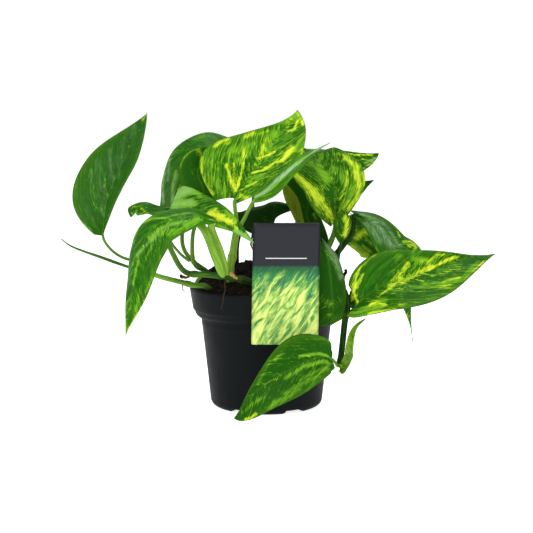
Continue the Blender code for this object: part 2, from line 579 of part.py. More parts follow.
def soil_height(x, y):
    # A mound behind the middle of the pot, with lumps, that falls to the edge height at the wall.
    reach = np.hypot(x, y) / (RIM_RADIUS - POT_WALL)
    dome = np.clip(1 - (x**2 + (y - SOIL_CROWN_BACK * (1 - reach))**2) / (RIM_RADIUS - POT_WALL)**2, 0, 1)
    lumps = np.sin(x * 0.31 + 1.0) * np.cos(y * 0.27) + 0.7 * np.sin(x * 0.53 - y * 0.47 + 2.0)
    return SOIL_EDGE_HEIGHT + SOIL_CROWN * dome**0.8 + SOIL_LUMP * lumps * np.clip(1 - reach**6, 0, 1)


def build_soil(parts, material):
    edge = RIM_RADIUS - POT_WALL - GAP
    band_foot = POT_HEIGHT - RIM_BAND_HEIGHT
    body_top = band_foot - STEP_HEIGHT
    slope = (RIM_RADIUS - RIM_FOOT_RADIUS) / RIM_BAND_HEIGHT
    top_edge = edge - slope * (POT_HEIGHT - SOIL_EDGE_HEIGHT)
    rings = [(top_edge * k / SOIL_RINGS, SOIL_EDGE_HEIGHT) for k in range(SOIL_RINGS + 1)]
    side = [(RIM_FOOT_RADIUS - POT_WALL - GAP, band_foot), (BODY_TOP_RADIUS - POT_WALL - GAP, body_top),
            (BASE_RADIUS - POT_WALL - FLOOR_INSET - GAP, POT_FLOOR + GAP), (0.0, POT_FLOOR + GAP)]
    soil = turned("soil", rings + side, SOIL_STEPS, parts, closed=False)
    for corner in soil.data.vertices:
        if corner.co.z > (SOIL_EDGE_HEIGHT - 0.01) * MM:
            x, y = corner.co.x / MM, corner.co.y / MM
            if math.hypot(x, y) < top_edge - 0.01:
                corner.co.z = float(soil_height(x, y)) * MM
    soil.data.materials.clear()
    soil.data.materials.append(material)
    return soil


def label_strip(name, clearance, collection):
    # One strip: up the front, over the fold, down the back, narrowing to a leg that stands in the soil.
    half = LABEL_WIDTH / 2
    leg_half = LABEL_LEG_WIDTH / 2
    strip = [(LABEL_FRONT_Y - LABEL_LEAN, LABEL_BOTTOM, half), (LABEL_FRONT_Y, LABEL_RIM_LEVEL, half),
             (LABEL_FRONT_Y + 0.1 * LABEL_FOLD, LABEL_TOP - LABEL_FOLD, half),
             (LABEL_FRONT_Y + 0.5 * LABEL_FOLD, LABEL_TOP, half),
             (LABEL_FRONT_Y + LABEL_FOLD, LABEL_TOP - 0.5 * LABEL_FOLD, half),
             ((LABEL_FRONT_Y + LABEL_LEG_Y) / 2, LABEL_TOP - LABEL_SHOULDER_DROP, 0.9 * half),
             (LABEL_LEG_Y, LABEL_TOP - 2.4 * LABEL_SHOULDER_DROP, leg_half),
             (LABEL_LEG_Y, LABEL_RIM_LEVEL, leg_half),
             ((LABEL_LEG_Y + LABEL_FOOT_Y) / 2, (LABEL_RIM_LEVEL + LABEL_LEG_FOOT) / 2, 0.9 * leg_half),
             (LABEL_FOOT_Y, LABEL_LEG_FOOT - clearance, LABEL_POINT)]
    form = bmesh.new()
    bmesh.ops.create_grid(form, x_segments=2, y_segments=len(strip) - 1, size=1.0)
    last = len(strip) - 1
    for corner in form.verts:
        row = int(round((corner.co.y + 1) / 2 * last))
        y, z, reach = strip[row]
        aside = LABEL_LEG_SHIFT * min(1.0, max(0.0, row - 4) / 2)    # rows 5 and 6 move over to the leg
        corner.co = Vector((LABEL_CENTRE_X + aside + corner.co.x * (reach + clearance), y, z)) * MM
    mesh = bpy.data.meshes.new(name)
    form.to_mesh(mesh)
    form.free()
    strip_object = mesh_object(name, mesh, collection)
    shell = strip_object.modifiers.new("thickness", "SOLIDIFY")
    shell.thickness = (LABEL_THICKNESS + 2 * clearance) * MM
    shell.offset = 0.0
    strip_object.data = evaluated_mesh(strip_object)
    strip_object.modifiers.clear()
    return strip_object


def build_label(soil, parts, cutters, material):
    label = label_strip("plant_label", 0.0, parts)
    label.data.materials.clear()
    label.data.materials.append(material)
    boolean(soil, label_strip("label_slot", GAP, cutters), "DIFFERENCE")
    return label


def build_spear(parts, material):
    spear = tube("leaf_spear", SPEAR_POINTS, SPEAR_RADII, STALK_POINT_SPACING, STALK_SIDES_LEVEL, parts)
    spear.data.materials.clear()
    spear.data.materials.append(material)
    return spear


def main():
    clear_scene()
    parts = new_collection("potted_pothos")
    cutters = new_collection("cutters")
    pot_black = new_material("pot_black", (0.012, 0.013, 0.015, 1.0), 0.55)
    soil_brown = new_material("soil_brown", (0.035, 0.022, 0.014, 1.0), 0.95)
    label_sheet = new_material("label_sheet", (0.05, 0.05, 0.06, 1.0), 0.4)
    stem_green = new_material("stem_green", STEM_GREEN, 0.45)
    leaf_green = new_material("leaf_green", GREEN, 0.4)

    build_pot(parts, cutters, pot_black)
    soil = build_soil(parts, soil_brown)
    build_label(soil, parts, cutters, label_sheet)

    clearances = {}
    for name, vine in VINES.items():
        build_vine(name, vine, parts, stem_green)
        clearances[name] = vine_cutter(name, vine, cutters)
        boolean(soil, clearances[name], "DIFFERENCE", keep_operand=True)
    for name, leaf in LEAVES.items():
        blade = build_leaf(name, leaf, parts, leaf_green)
        if leaf["stem"] == "soil":
            hole = stalk_tube(name + "_hole", leaf, GAP, cutters)
            boolean(soil, hole, "DIFFERENCE")
        else:
            boolean(blade, clearances[leaf["stem"]], "DIFFERENCE", keep_operand=True)
    spear = build_spear(parts, leaf_green)
    boolean(spear, clearances["vine_left"], "DIFFERENCE", keep_operand=True)
    for cutter in clearances.values():
        bpy.data.objects.remove(cutter, do_unlink=True)
    for thing in parts.objects:
        thing.data.shade_smooth()
        thing.data.set_sharp_from_angle(angle=SHARP_ANGLE)


main()
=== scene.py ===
import math
import bpy
import numpy as np
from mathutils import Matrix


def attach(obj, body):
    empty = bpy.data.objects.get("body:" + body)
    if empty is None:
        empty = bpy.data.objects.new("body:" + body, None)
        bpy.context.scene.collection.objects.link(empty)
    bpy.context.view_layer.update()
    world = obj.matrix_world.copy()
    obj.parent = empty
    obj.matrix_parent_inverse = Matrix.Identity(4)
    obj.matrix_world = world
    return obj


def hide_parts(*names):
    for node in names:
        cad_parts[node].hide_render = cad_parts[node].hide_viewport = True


# A potted variegated pothos. Shapes are worked out in millimetres and written in metres.
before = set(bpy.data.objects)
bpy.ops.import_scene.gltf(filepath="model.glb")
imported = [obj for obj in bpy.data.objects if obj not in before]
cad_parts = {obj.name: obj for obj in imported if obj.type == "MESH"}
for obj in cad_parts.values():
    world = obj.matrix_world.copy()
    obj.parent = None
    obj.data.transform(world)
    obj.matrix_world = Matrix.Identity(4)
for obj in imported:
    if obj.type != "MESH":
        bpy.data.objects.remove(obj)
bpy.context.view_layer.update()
millimetre = 0.001
centimetre = 10.0        # the patterns on leaves, stems and label are laid out in centimetres
roundAngle = 6.28        # about a full turn, for angles drawn at random
pathReadings = 24        # places worked out between two points of a smooth path
lengthReadings = 100     # places read along a path to measure it
ribReadings = 200        # places read along a leaf's rib
print("frame loaded")


# Shapes as functions of two parameters

def unit(rows):
    return rows / np.maximum(np.linalg.norm(rows, axis=-1, keepdims=True), 1e-9)


def stacked(*parts):
    # arrays of x, y and z, stretched to one common size, as points
    return np.stack(np.broadcast_arrays(*parts), axis=-1)


def smoothPath(points, count):
    # Catmull-Rom through the points, read at count places evenly spaced along its length
    knots = np.array(points, dtype=float)
    padded = np.vstack([2 * knots[0] - knots[1], knots, 2 * knots[-1] - knots[-2]])
    t = np.linspace(0.0, 1.0, pathReadings, endpoint=False)[:, None]
    runs = []
    for a, b, c, d in zip(padded, padded[1:], padded[2:], padded[3:]):
        runs.append(0.5 * (2 * b + (c - a) * t + (2 * a - 5 * b + 4 * c - d) * t**2
                           + (3 * b - a - 3 * c + d) * t**3))
    fine = np.vstack(runs + [knots[-1:]])
    gone = np.concatenate([[0.0], np.cumsum(np.linalg.norm(np.diff(fine, axis=0), axis=1))])
    wanted = np.linspace(0.0, gone[-1], count)
    return np.column_stack([np.interp(wanted, gone, fine[:, k]) for k in range(3)])


def pathLength(points):
    fine = smoothPath(points, lengthReadings)
    return float(np.linalg.norm(np.diff(fine, axis=0), axis=1).sum())


def waves(x, y, seed, size, layers, perLayer=4, calm=5.0):
    # a smooth uneven field: sums of sines in random directions, each layer half the size of the one
    # before; calm brings the sum back to about -1 to 1
    draw = np.random.default_rng(seed)
    total = np.zeros(np.broadcast(x, y).shape)
    for layer in range(layers):
        strength = 0.5**layer
        for turn in range(perLayer):
            way = unit(draw.normal(size=3)) * 2 * math.pi / (size * strength)
            total = total + strength * np.sin(way[0] * x + way[1] * y + draw.uniform(0, roundAngle))
    return total / calm


def ringPart(rings, fields, finish=0):
    # rings (rows, count, 3) joined into one closed skin; both ends are closed by a flat strip of quads
    rows, count = rings.shape[:2]
    place = np.arange(rows * count).reshape(rows, count)
    ahead = np.roll(place, -1, axis=1)
    sides = np.stack([place[:-1], ahead[:-1], ahead[1:], place[1:]], axis=-1).reshape(-1, 4)
    half = count // 2
    low = np.arange(1, half - 1)
    strip = np.stack([low, low + 1, count - low - 1, count - low], axis=-1)
    corners = np.array([[0, 1, count - 1], [half - 1, half, half + 1]])
    last = (rows - 1) * count
    quads = np.vstack([sides, strip[:, ::-1], strip + last])
    tris = np.vstack([corners[:, ::-1], corners + last])
    points = rings.reshape(-1, 3)
    # the sum of a . (b x c) over the faces, six times the volume, is below 0 when faces look inwards
    volume = 0.0
    for faces in (tris, quads[:, :3], quads[:, [0, 2, 3]]):
        a, b, c = points[faces[:, 0]], points[faces[:, 1]], points[faces[:, 2]]
        volume += np.einsum("ij,ij->i", a, np.cross(b, c)).sum()
    if volume < 0:
        quads, tris = quads[:, ::-1], tris[:, ::-1]
    flat = {key: np.asarray(value).reshape(rows * count, -1) for key, value in fields.items()}
    return dict(points=points, quads=quads, tris=tris, fields=flat, finish=finish)


def makePiece(name, parts, materials, node):
    # one mesh from several skins; fields become point attributes that the materials read
    start = 0
    quads, tris = [], []
    for part in parts:
        quads.append(part["quads"] + start)
        tris.append(part["tris"] + start)
        start += len(part["points"])
    points = np.vstack([part["points"] for part in parts])
    finishes = [np.full(len(part[kind]), part["finish"]) for kind in ("quads", "tris") for part in parts]
    mesh = bpy.data.meshes.new(name)
    mesh.from_pydata(points * millimetre, [], np.vstack(quads).tolist() + np.vstack(tris).tolist())
    mesh.polygons.foreach_set("material_index", np.concatenate(finishes).astype(np.int32))
    for key in sorted({key for part in parts for key in part["fields"]}):
        width = max(part["fields"][key].shape[1] for part in parts if key in part["fields"])
        column = np.vstack([part["fields"].get(key, np.zeros((len(part["points"]), width)))
                            for part in parts])
        kind, way = ("FLOAT_VECTOR", "vector") if width == 3 else ("FLOAT", "value")
        attribute = mesh.attributes.new(key, kind, "POINT")
        attribute.data.foreach_set(way, column.astype(np.float32).ravel())
    for material in materials:
        mesh.materials.append(material)
    mesh.shade_smooth()
    mesh.update()
    piece = bpy.data.objects.new(name, mesh)
    bpy.context.scene.collection.objects.link(piece)
    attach(piece, "root")
    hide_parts(node)


def crossFrames(path):
    # side and up across a path; side is measured against the direction that the path least follows
    tangent = unit(np.gradient(path, axis=0))
    least = np.linalg.svd(tangent, full_matrices=True)[2][-1]
    side = unit(np.cross(tangent, least))
    return side, np.cross(side, tangent)


def sweep(path, radius, sides, fields, groove=0.0, grooveWay=None, finish=0, ridges=None, flat=1.0,
          grooveSpread=0.55):
    # a tube: at each path point a ring of that radius, dented along one side by a groove, and pressed
    # flat towards that side
    side, up = crossFrames(path)
    angle = np.linspace(0.0, 2 * math.pi, sides, endpoint=False)[None, :]
    size = np.repeat(np.asarray(radius, dtype=float)[:, None], sides, axis=1)
    if grooveWay is not None:
        way = np.asarray(grooveWay, dtype=float)
        middle = np.arctan2(up @ way, side @ way)[:, None]
        off = np.angle(np.exp(1j * (angle - middle)))
        dent = 1 - groove * np.exp(-(off / grooveSpread)**2)
        size = size / np.sqrt((np.cos(off) / flat)**2 + np.sin(off)**2) * dent
    if ridges is not None:
        size = size * ridges(np.arange(len(path))[:, None] / (len(path) - 1), angle)
    rings = (path[:, None, :] + (size * np.cos(angle))[..., None] * side[:, None, :]
             + (size * np.sin(angle))[..., None] * up[:, None, :])
    gone = np.concatenate([[0.0], np.cumsum(np.linalg.norm(np.diff(path, axis=0), axis=1))])
    place = stacked(gone[:, None] / centimetre, np.cos(angle), np.sin(angle))
    allFields = {"stemPlace": place}
    for key, value in fields.items():
        allFields[key] = np.repeat(np.asarray(value, dtype=float)[:, None], sides, axis=1)
    return ringPart(rings, allFields, finish)


# Materials

class Wiring:
    # short names for the nodes that the materials here are wired from
    def __init__(self, tree):
        self.tree = tree

    def node(self, kind, **values):
        made = self.tree.nodes.new(kind)
        for key, value in values.items():
            setattr(made, key, value)
        return made

    def link(self, source, target):
        if hasattr(source, "outputs"):
            source = source.outputs[0]
        if isinstance(source, bpy.types.NodeSocket):
            self.tree.links.new(source, target)
        else:
            target.default_value = source

    def field(self, name, vector=False):
        made = self.node("ShaderNodeAttribute", attribute_name=name)
        return made.outputs["Vector"] if vector else made.outputs["Fac"]

    def math(self, operation, *values):
        made = self.node("ShaderNodeMath", operation=operation)
        for value, target in zip(values, made.inputs):
            self.link(value, target)
        return made.outputs[0]

    def times(self, a, b):
        return self.math("MULTIPLY", a, b)

    def plus(self, a, b):
        return self.math("ADD", a, b)

    def mapped(self, vector, **settings):
        made = self.node("ShaderNodeMapping")
        self.link(vector, made.inputs["Vector"])
        for key, value in settings.items():
            made.inputs[key].default_value = value
        return made.outputs[0]

    def stretched(self, vector, scale, shift=(0.0, 0.0, 0.0), detail=3.0, rough=0.55, twist=0.0):
        # noise on a stretched and shifted pattern
        return self.noise(self.mapped(vector, Scale=scale, Location=shift), 1.0, detail, rough, twist)

    def noise(self, vector, scale, detail=3.0, rough=0.55, twist=0.0):
        made = self.node("ShaderNodeTexNoise")
        self.link(vector, made.inputs["Vector"])
        made.inputs["Scale"].default_value = scale
        made.inputs["Detail"].default_value = detail
        made.inputs["Roughness"].default_value = rough
        made.inputs["Distortion"].default_value = twist
        return made.outputs["Fac"]

    def between(self, value, low, high, top=1.0, bottom=0.0, smooth=True):
        # bottom where the value is low, top where it is high, and a smooth way between them
        made = self.node("ShaderNodeMapRange", interpolation_type="SMOOTHSTEP" if smooth else "LINEAR")
        self.link(value, made.inputs["Value"])
        made.inputs["From Min"].default_value = low
        made.inputs["From Max"].default_value = high
        made.inputs["To Min"].default_value = bottom
        made.inputs["To Max"].default_value = top
        return made.outputs["Result"]

    def blend(self, factor, first, second, how="MIX"):
        made = self.node("ShaderNodeMix", data_type="RGBA", blend_type=how)
        self.link(factor, made.inputs[0])
        self.link(first, made.inputs[6])
        self.link(second, made.inputs[7])
        return made.outputs[2]

    def bump(self, height, strength, distance, before=None):
        made = self.node("ShaderNodeBump")
        self.link(height, made.inputs["Height"])
        made.inputs["Strength"].default_value = strength
        made.inputs["Distance"].default_value = distance
        if before is not None:
            self.link(before, made.inputs["Normal"])
        return made.outputs["Normal"]

    def objectPlace(self):
        return self.node("ShaderNodeTexCoord").outputs["Object"]


def newMaterial(name, roughness, specular):
    material = bpy.data.materials.new(name)
    material.use_nodes = True
    shader = material.node_tree.nodes["Principled BSDF"]
    shader.inputs["Roughness"].default_value = roughness
    shader.inputs["Specular IOR Level"].default_value = specular
    return material, Wiring(material.node_tree), shader


# The leaves. rib runs from the stalk's end to the tip; face is where the upper side looks at the
# stalk, halfway and at the tip. Pairs are for the left and right half of the blade.
leafBuild = dict(thickness=0.5, rowEvery=1.0, extraRows=12, firstRow=1e-4, rowReach=0.9985, rowSpread=1.2,
                 columnEvery=1.25, extraColumns=9, columnSpread=1.25, baseStart=0.03,
                 ribDepth=0.45, ribWidth=0.75, ribUnder=0.9, veinDepth=0.12, veinEvery=5.2, veinWidth=0.8,
                 veinSlant=(0.9, 0.9), veinFree=2.5, rippleRate=15.0, rippleSlant=1.3,
                 marginPower=6, tipTaper=25, leastEdge=0.05, patternStep=3.7,
                 stalkSides=14, stalkEvery=1.6, extraRings=8, stalkReadings=60, stalkRunIn=9.0, stalkSunk=0.5,
                 stalkEnd=0.25, kneeSwelling=0.12, kneeLength=3.0, groove=0.22,
                 sheathSides=30, sheathGroove=0.35, sheathFlat=0.5, sheathRound=5.0, sheathStart=0.3,
                 sheathEnds=(0.72, 0.9), sheathTip=0.32, sheathSunk=1.8)

# What most leaves have. thick is the stalk's radius at the vine and at the blade, and sheath that of a
# broad one. lobe, fold and curl shape the blade, wave its margin, and steady holds the blade's sides to
# its whole length. tone runs from dark to light; its lowest values are painted shade on leaves that hang in
# shadow. yellow and pale marks are variegation, but the pale stripe along edgeOn's rib is a painted
# highlight, and the sheen marks are painted sheen. Each mark goes from one place to another, in percent
# of the length and of the half width, with a half thickness and a strength.
usualLeaf = dict(thick=(1.7, 1.2), sheath=None, steady=0, olive=0, stalkTone=0.5, yellow=[], pale=[], paintedSheen=[])

leafShapes = {
    "farLeft": dict(
        node="leaf_far_left", thick=(1.2, 0.9), stalk=[(-90, -35, 110.5), (-96, -33.5, 115),
        (-110, -33, 120), (-119, -31, 127)],
        rib=[(-123.6, -30, 135.3), (-120.3, -31, 159.6), (-115.1, -31, 174.5), (-103.3, -29, 199.2),
        (-89.2, -25, 227.3)], face=[(-0.45, -0.9, 0.1), (-0.45, -0.9, 0.1), (-0.3, -0.95, 0.1)],
        width=(28.3, 18.1), widest=(0.354, 0.521), point=(1.33, 1.07), lobe=0, fold=31.5, curl=-2.7,
        wave=0.6, tone=0.26, flecks=0, streaks=0.24, stalkTone=0.35,
        yellow=[(38, -21, 30, 4, 1.1, 0.5), (25, -39, 20, -27, 1.3, 0.45), (99, 74, 94, -15, 1.1, 0.7)],
        pale=[(43, -69, 29, -31, 1.8, 0.3), (65, 100, 56, 83, 1.1, 0.35), (9, -100, 3, -81, 0.9, 0.4),
        (85, 24, 76, 100, 1.1, 0.3)],
        paintedSheen=[(52, -72, 33, -22, 2, 0.15), (62, -62, 38, 14, 2, 0.17), (60, -26, 47, 33, 1.6, 0.14),
        (56, -1, 72, -38, 1.4, 0.13), (78, -19, 86, -65, 1.6, 0.15), (33, -12, 15, -1, 1.8, 0.13),
        (43, -71, 34, -46, 1.4, 0.1), (17, -55, 83, 11, 12.6, 0.05)]),
    "backLeft": dict(
        node="leaf_back_left", stalk=[(-75, -19, 128), (-79, -10, 136), (-82, 0, 146)],
        rib=[(-83, 8, 155), (-82, 14, 177), (-72, 18, 200.5), (-47, 22, 212.8), (-20, 26, 204.5)],
        face=[(-1, 0, 0.1), (-0.7, -0.1, 0.7), (0.1, 0, 1)],
        width=(25, 26), widest=(0.3, 0.35), point=(1.3, 0.75), lobe=6, fold=-28, curl=-3, wave=0.8,
        tone=0.42, flecks=0.12, streaks=0.25,
        yellow=[(60, 86, 57, 100, 1.9, 0.7)],
        pale=[(32, 0, 4, 28, 2.2, 0.6), (28, 64, 6, 94, 2.2, 0.6), (36, 12, 45, 14, 2.7, 0.4),
        (58, 23, 70, 35, 1.8, 0.4)],
        paintedSheen=[(42, 4, 24, 19, 2.2, 0.15), (28, 7, 4, 28, 2.2, 0.4), (26, 69, 6, 94, 2, 0.35),
        (36, 12, 20, 39, 1.8, 0.3)]),
    "innerLeft": dict(
        node="leaf_inner_left", stalk=[(-56, -14, 112), (-57, -15, 123), (-56, -14, 137), (-51, -14, 150)],
        rib=[(-47.5, -16, 158.5), (-48.9, -15, 171.8), (-53, -13, 182.5), (-45.2, -11, 201.4)],
        face=[(0.1, -0.9, 0.4), (0.1, -1, 0.2), (0.1, -1, 0.1)],
        width=(14.3, 18.8), widest=(0.57, 0.558), point=(0.82, 0.88), lobe=1.9, fold=7.9, curl=0.1, wave=0.6,
        tone=0.22, flecks=0.03, streaks=0.1,
        yellow=[(89, -74, 80, -7, 2.3, 0.8)],
        pale=[(69, -94, 82, -100, 1.2, 0.8), (82, -100, 93, -100, 1.2, 0.8), (58, -91, 68, -99, 0.9, 0.8)]),
    "topCentre": dict(
        node="leaf_top_centre", stalk=[(-22, -30, 142), (-23, -29.5, 151), (-24, -27, 159)],
        rib=[(-23.2, -25, 162.7), (-11.1, -28, 182.2), (-0.3, -29, 195.7), (12.7, -26, 216.6),
        (23.4, -19, 229.4)], face=[(-0.1, -0.9, 0.45), (-0.15, -0.95, 0.3), (-0.2, -0.95, 0.1)],
        width=(40, 26), widest=(0.243, 0.56), point=(2.23, 0.8), lobe=(9.7, 3.5), fold=11.4, curl=-0.8,
        wave=1.2, steady=4, tone=0.46, flecks=0.36, streaks=0.45,
        yellow=[(7, -12, 14, -29, 1.4, 1.1), (14, -29, 24, -50, 1.1, 1), (7, -11, 20, -14, 1.2, 1),
        (20, -14, 29, -21, 0.9, 0.8), (9, -14, 27, -39, 0.9, 0.75), (29, -21, 43, -50, 2.1, 0.6),
        (28, 1, 36, 26, 0.9, 0.95), (36, 26, 48, 40, 1.3, 1), (48, 40, 53, 53, 1.6, 1.1),
        (53, 53, 66, 62, 2.1, 1.15), (42, -11, 51, 10, 1.1, 0.95), (46, -12, 60, -32, 2.5, 0.62),
        (47, 4, 56, 18, 0.9, 0.7), (33, -91, 38, -95, 1.7, 1.05), (38, -95, 43, -93, 1.5, 0.85),
        (38, -82, 41, -82, 1.1, 0.7), (53, -80, 59, -86, 1.7, 0.85), (60, -72, 68, -64, 1.1, 0.5),
        (77, 25, 82, 43, 1, 0.95), (82, 43, 91, 49, 1.2, 1), (92, 80, 89, 85, 1.1, 1.05),
        (98, -100, 93, 73, 0.9, 0.7), (70, 95, 64, 100, 1.1, 0.7), (21, -96, 10, -100, 0.9, 0.8),
        (9, -100, 4, -100, 0.9, 0.6), (3, -100, 2, -93, 1.1, 0.7), (5, 31, 11, 98, 1.3, 0.7),
        (9, -2, 24, 43, 0.9, 0.6), (81, 14, 90, 3, 1.3, 0.5)],
        pale=[(35, -59, 48, -47, 5.4, 0.5), (52, -11, 66, -25, 5.4, 0.55), (84, -78, 97, 59, 4.5, 0.6),
        (21, 4, 32, 41, 2.7, 0.5), (4, -45, 10, -71, 2.7, 0.4), (26, -82, 11, -82, 3.1, 0.45),
        (33, -34, 43, -42, 4.5, 0.5), (76, 79, 66, 73, 1.8, 0.5)]),
    "edgeOn": dict(
        node="leaf_edge_on", stalk=[(-21.5, -31, 140), (-17.5, -34, 147), (-12, -41, 158)],
        rib=[(-8.6, -47.5, 163.7), (4.6, -56.5, 171.9), (22.1, -59.5, 189.7), (34.2, -56.5, 198.4),
        (47.4, -49.5, 205.5)], face=[(-0.5, -0.35, 0.8), (-0.5, -0.3, 0.8), (-0.5, -0.1, 0.85)],
        width=(15.9, 16.9), widest=(0.22, 0.326), point=(0.8, 0.9), lobe=0.2, fold=5.8, curl=-1.3, wave=0.5,
        steady=4, tone=0.5, flecks=0.15, streaks=0.4, stalkTone=0.6,
        yellow=[(6, 18, 21, 51, 1.1, 0.6)],
        # the pale and sheen marks along the rib are a painted highlight on the ridge of the folded blade
        pale=[(0, -10, 50, -14, 2.2, 1.1), (50, -14, 99, 100, 2.2, 0.9)],
        paintedSheen=[(0, -10, 30, -46, 2.7, 1.2), (30, -46, 61, 16, 3.1, 1.5), (61, 16, 99, 100, 2, 1.2)]),
    "frontLeft": dict(
        node="leaf_front_left", sheath=(3.1, 2.6), stalk=[(-29.5, -47, 106), (-34, -48, 124),
        (-40.5, -50, 142)],
        rib=[(-39.7, -57.5, 149.2), (-53.5, -64, 152.5), (-78.8, -70, 146.5), (-90.2, -74, 129.1),
        (-96.3, -75, 102), (-102.5, -71, 64.2)], face=[(-0.1, -0.6, 0.8), (-0.6, -0.75, 0.5),
        (-0.5, -0.85, 0.1)],
        width=(19.8, 15), widest=(0.445, 0.302), point=(1.4, 1.31), lobe=3.8, fold=-8.1, curl=-1.8, wave=0.8,
        tone=0.42, flecks=0.1, streaks=0.3, stalkTone=0.75,
        yellow=[(40, -14, 22, -47, 0.9, 0.5), (47, -9, 35, -30, 0.8, 0.5), (95, -100, 90, -100, 1.2, 0.95),
        (90, -100, 83, -100, 1.2, 0.85), (83, -100, 75, -96, 0.9, 0.65), (75, -76, 69, -47, 1.1, 0.5),
        (35, 89, 33, 68, 1.2, 0.6), (30, -35, 26, -32, 0.9, 0.6), (59, 39, 55, 28, 1.1, 0.5),
        (83, -12, 78, -21, 0.9, 0.5)],
        pale=[(36, 90, 27, 25, 1.4, 0.9), (27, 25, 13, 35, 1.3, 0.6), (34, -24, 17, -32, 2.2, 0.6),
        (53, 11, 40, -35, 2, 0.6), (41, -26, 24, -69, 3.8, 0.6), (69, -2, 56, -6, 1.3, 0.75),
        (18, -62, 9, -36, 2, 0.75), (55, -38, 45, -39, 1.4, 0.45), (71, -85, 63, -90, 1.6, 0.5),
        (98, -89, 79, 64, 1.4, 0.5), (39, 100, 48, 78, 1.3, 0.5), (30, -68, 21, -68, 1.4, 0.6),
        (83, -70, 70, -49, 1.3, 0.5)],
        paintedSheen=[(53, 11, 40, -35, 2.2, 0.12), (40, -35, 17, -32, 2.2, 0.12)]),
    "frontSmall": dict(
        node="leaf_front_small", sheath=(3.1, 2.7), stalk=[(-31.5, -50, 106), (-37.5, -52, 121),
        (-46, -52.5, 142), (-60, -42, 152)],
        rib=[(-72.5, -30, 155.4), (-69.1, -33, 156.5), (-39, -41, 154.8), (-21.5, -55, 148.2),
        (-8.5, -65, 132.3)], face=[(-0.1, -0.75, 0.6), (0.1, -0.8, 0.55), (0.4, -0.8, 0.3)],
        width=(21.9, 13.4), widest=(0.112, 0.555), point=(3.12, 1.18), lobe=5.2, fold=0.5, curl=-2, wave=0.6,
        tone=0.38, flecks=0.15, streaks=0.42, stalkTone=0.66,
        yellow=[(39, 33, 46, -10, 2.3, 1), (42, 28, 57, 28, 3.4, 1.3), (54, 41, 70, 31, 3.4, 1.2),
        (70, 46, 80, 51, 1.9, 0.7), (13, -88, 19, -100, 1.5, 0.5), (10, -20, 21, -20, 1.7, 0.5)],
        pale=[(6, -57, 20, -95, 4.5, 1.5), (3, -14, 21, -24, 3.6, 1.5), (56, -36, 69, 3, 2.2, 0.7),
        (81, 73, 96, 30, 2.2, 1), (52, 88, 74, 100, 1.8, 0.6), (21, -89, 29, -74, 2.7, 0.6)],
        paintedSheen=[(5, -52, 18, -88, 4, 0.5), (4, -12, 21, -24, 2.7, 0.4), (81, 73, 96, 30, 1.4, 0.4)]),
    "leftBehind": dict(
        node="leaf_left_behind", thick=(1.2, 0.9), stalk=[(-60, -2, 113), (-67, -4, 119), (-74, -8, 129),
        (-76, -15, 141)],
        rib=[(-71.2, -22, 154.7), (-81, -30, 157.9), (-91.1, -36, 160.9), (-102.3, -39, 157.1),
        (-101.3, -40, 149.8)], face=[(-0.2, -0.4, 0.9), (-0.4, -0.5, 0.8), (-0.9, -0.3, 0.3)],
        width=(12.2, 8.7), widest=(0.568, 0.499), point=(0.35, 0.9), lobe=3.1, fold=-20.5, curl=-0.8,
        wave=0.5, tone=0.35, flecks=0.15, streaks=0.3,
        yellow=[(65, -44, 58, -93, 1.2, 0.6), (93, -31, 98, -100, 1.1, 0.6)],
        pale=[(80, -24, 65, -27, 1.8, 0.5), (81, -91, 67, -94, 1.8, 0.6)]),
    "rightUpright": dict(
        node="leaf_right_upright", thick=(1.6, 1.2), stalk=[(44.1, -24, 119.3), (47.5, -22, 128.3),
        (50.9, -20, 136.5)],
        rib=[(52.5, -18, 145.4), (52, -25, 167), (49.1, -23, 177.1), (37.5, -9, 194.9), (38.9, 4, 198.1)],
        face=[(0, -0.95, 0.3), (-0.05, -0.85, 0.5), (0, -0.4, 0.9)],
        width=(27.8, 25.5), widest=(0.618, 0.522), point=(0.49, 0.88), lobe=3.7, fold=14.3, curl=-1.3,
        wave=1, steady=3, tone=0.34, flecks=0.3, streaks=0.4, stalkTone=0.38,
        yellow=[(59, -89, 51, -81, 3.2, 1.02), (51, -81, 40, -76, 3.6, 1), (40, -76, 27, -59, 4, 0.88),
        (27, -59, 10, -40, 3.2, 0.8), (10, -40, 2, -38, 1.3, 0.7), (45, 76, 35, 81, 3.2, 0.88),
        (35, 81, 24, 85, 2.3, 0.8), (24, 85, 15, 76, 1.9, 0.75), (64, 75, 50, 84, 3, 0.72),
        (73, 76, 65, 81, 2.1, 0.6), (48, 53, 35, 34, 1.4, 0.65), (35, 34, 24, 19, 1.2, 0.6),
        (23, 54, 10, 41, 1.5, 0.6), (42, 96, 36, 100, 1.5, 0.85)],
        pale=[(67, -11, 47, -11, 4.5, 0.6), (78, 19, 66, -15, 2.7, 0.5), (57, 28, 42, 31, 3.6, 0.5),
        (70, -32, 74, -7, 2.7, 0.4), (33, 59, 15, 49, 3.6, 0.5)]),
    "rightBack": dict(
        node="leaf_right_back", stalk=[(30, 36, 82), (33, 37, 110), (31, 35, 145), (22, 28, 170)],
        rib=[(21.3, 23, 177.8), (44.5, 22, 187.2), (69.5, 22, 194.2), (89.2, 23, 196.4)],
        face=[(-0.2, -0.8, 0.6), (-0.2, -0.85, 0.5), (-0.1, -0.9, 0.3)],
        width=(22.7, 16.4), widest=(0.115, 0.632), point=(2.07, 0.79), lobe=4, fold=6.5, curl=-1.9, wave=0.6,
        tone=0.3, flecks=0.2, streaks=0.35,
        yellow=[(60, -68, 74, -14, 0.9, 0.9), (74, -14, 93, 16, 0.8, 0.85), (68, 26, 86, 39, 0.9, 0.65),
        (78, 85, 91, 88, 1.1, 0.75), (28, -100, 33, -100, 1.5, 0.6)],
        pale=[(83, 59, 95, 75, 1.8, 0.6), (29, -100, 38, -100, 2.2, 0.6)],
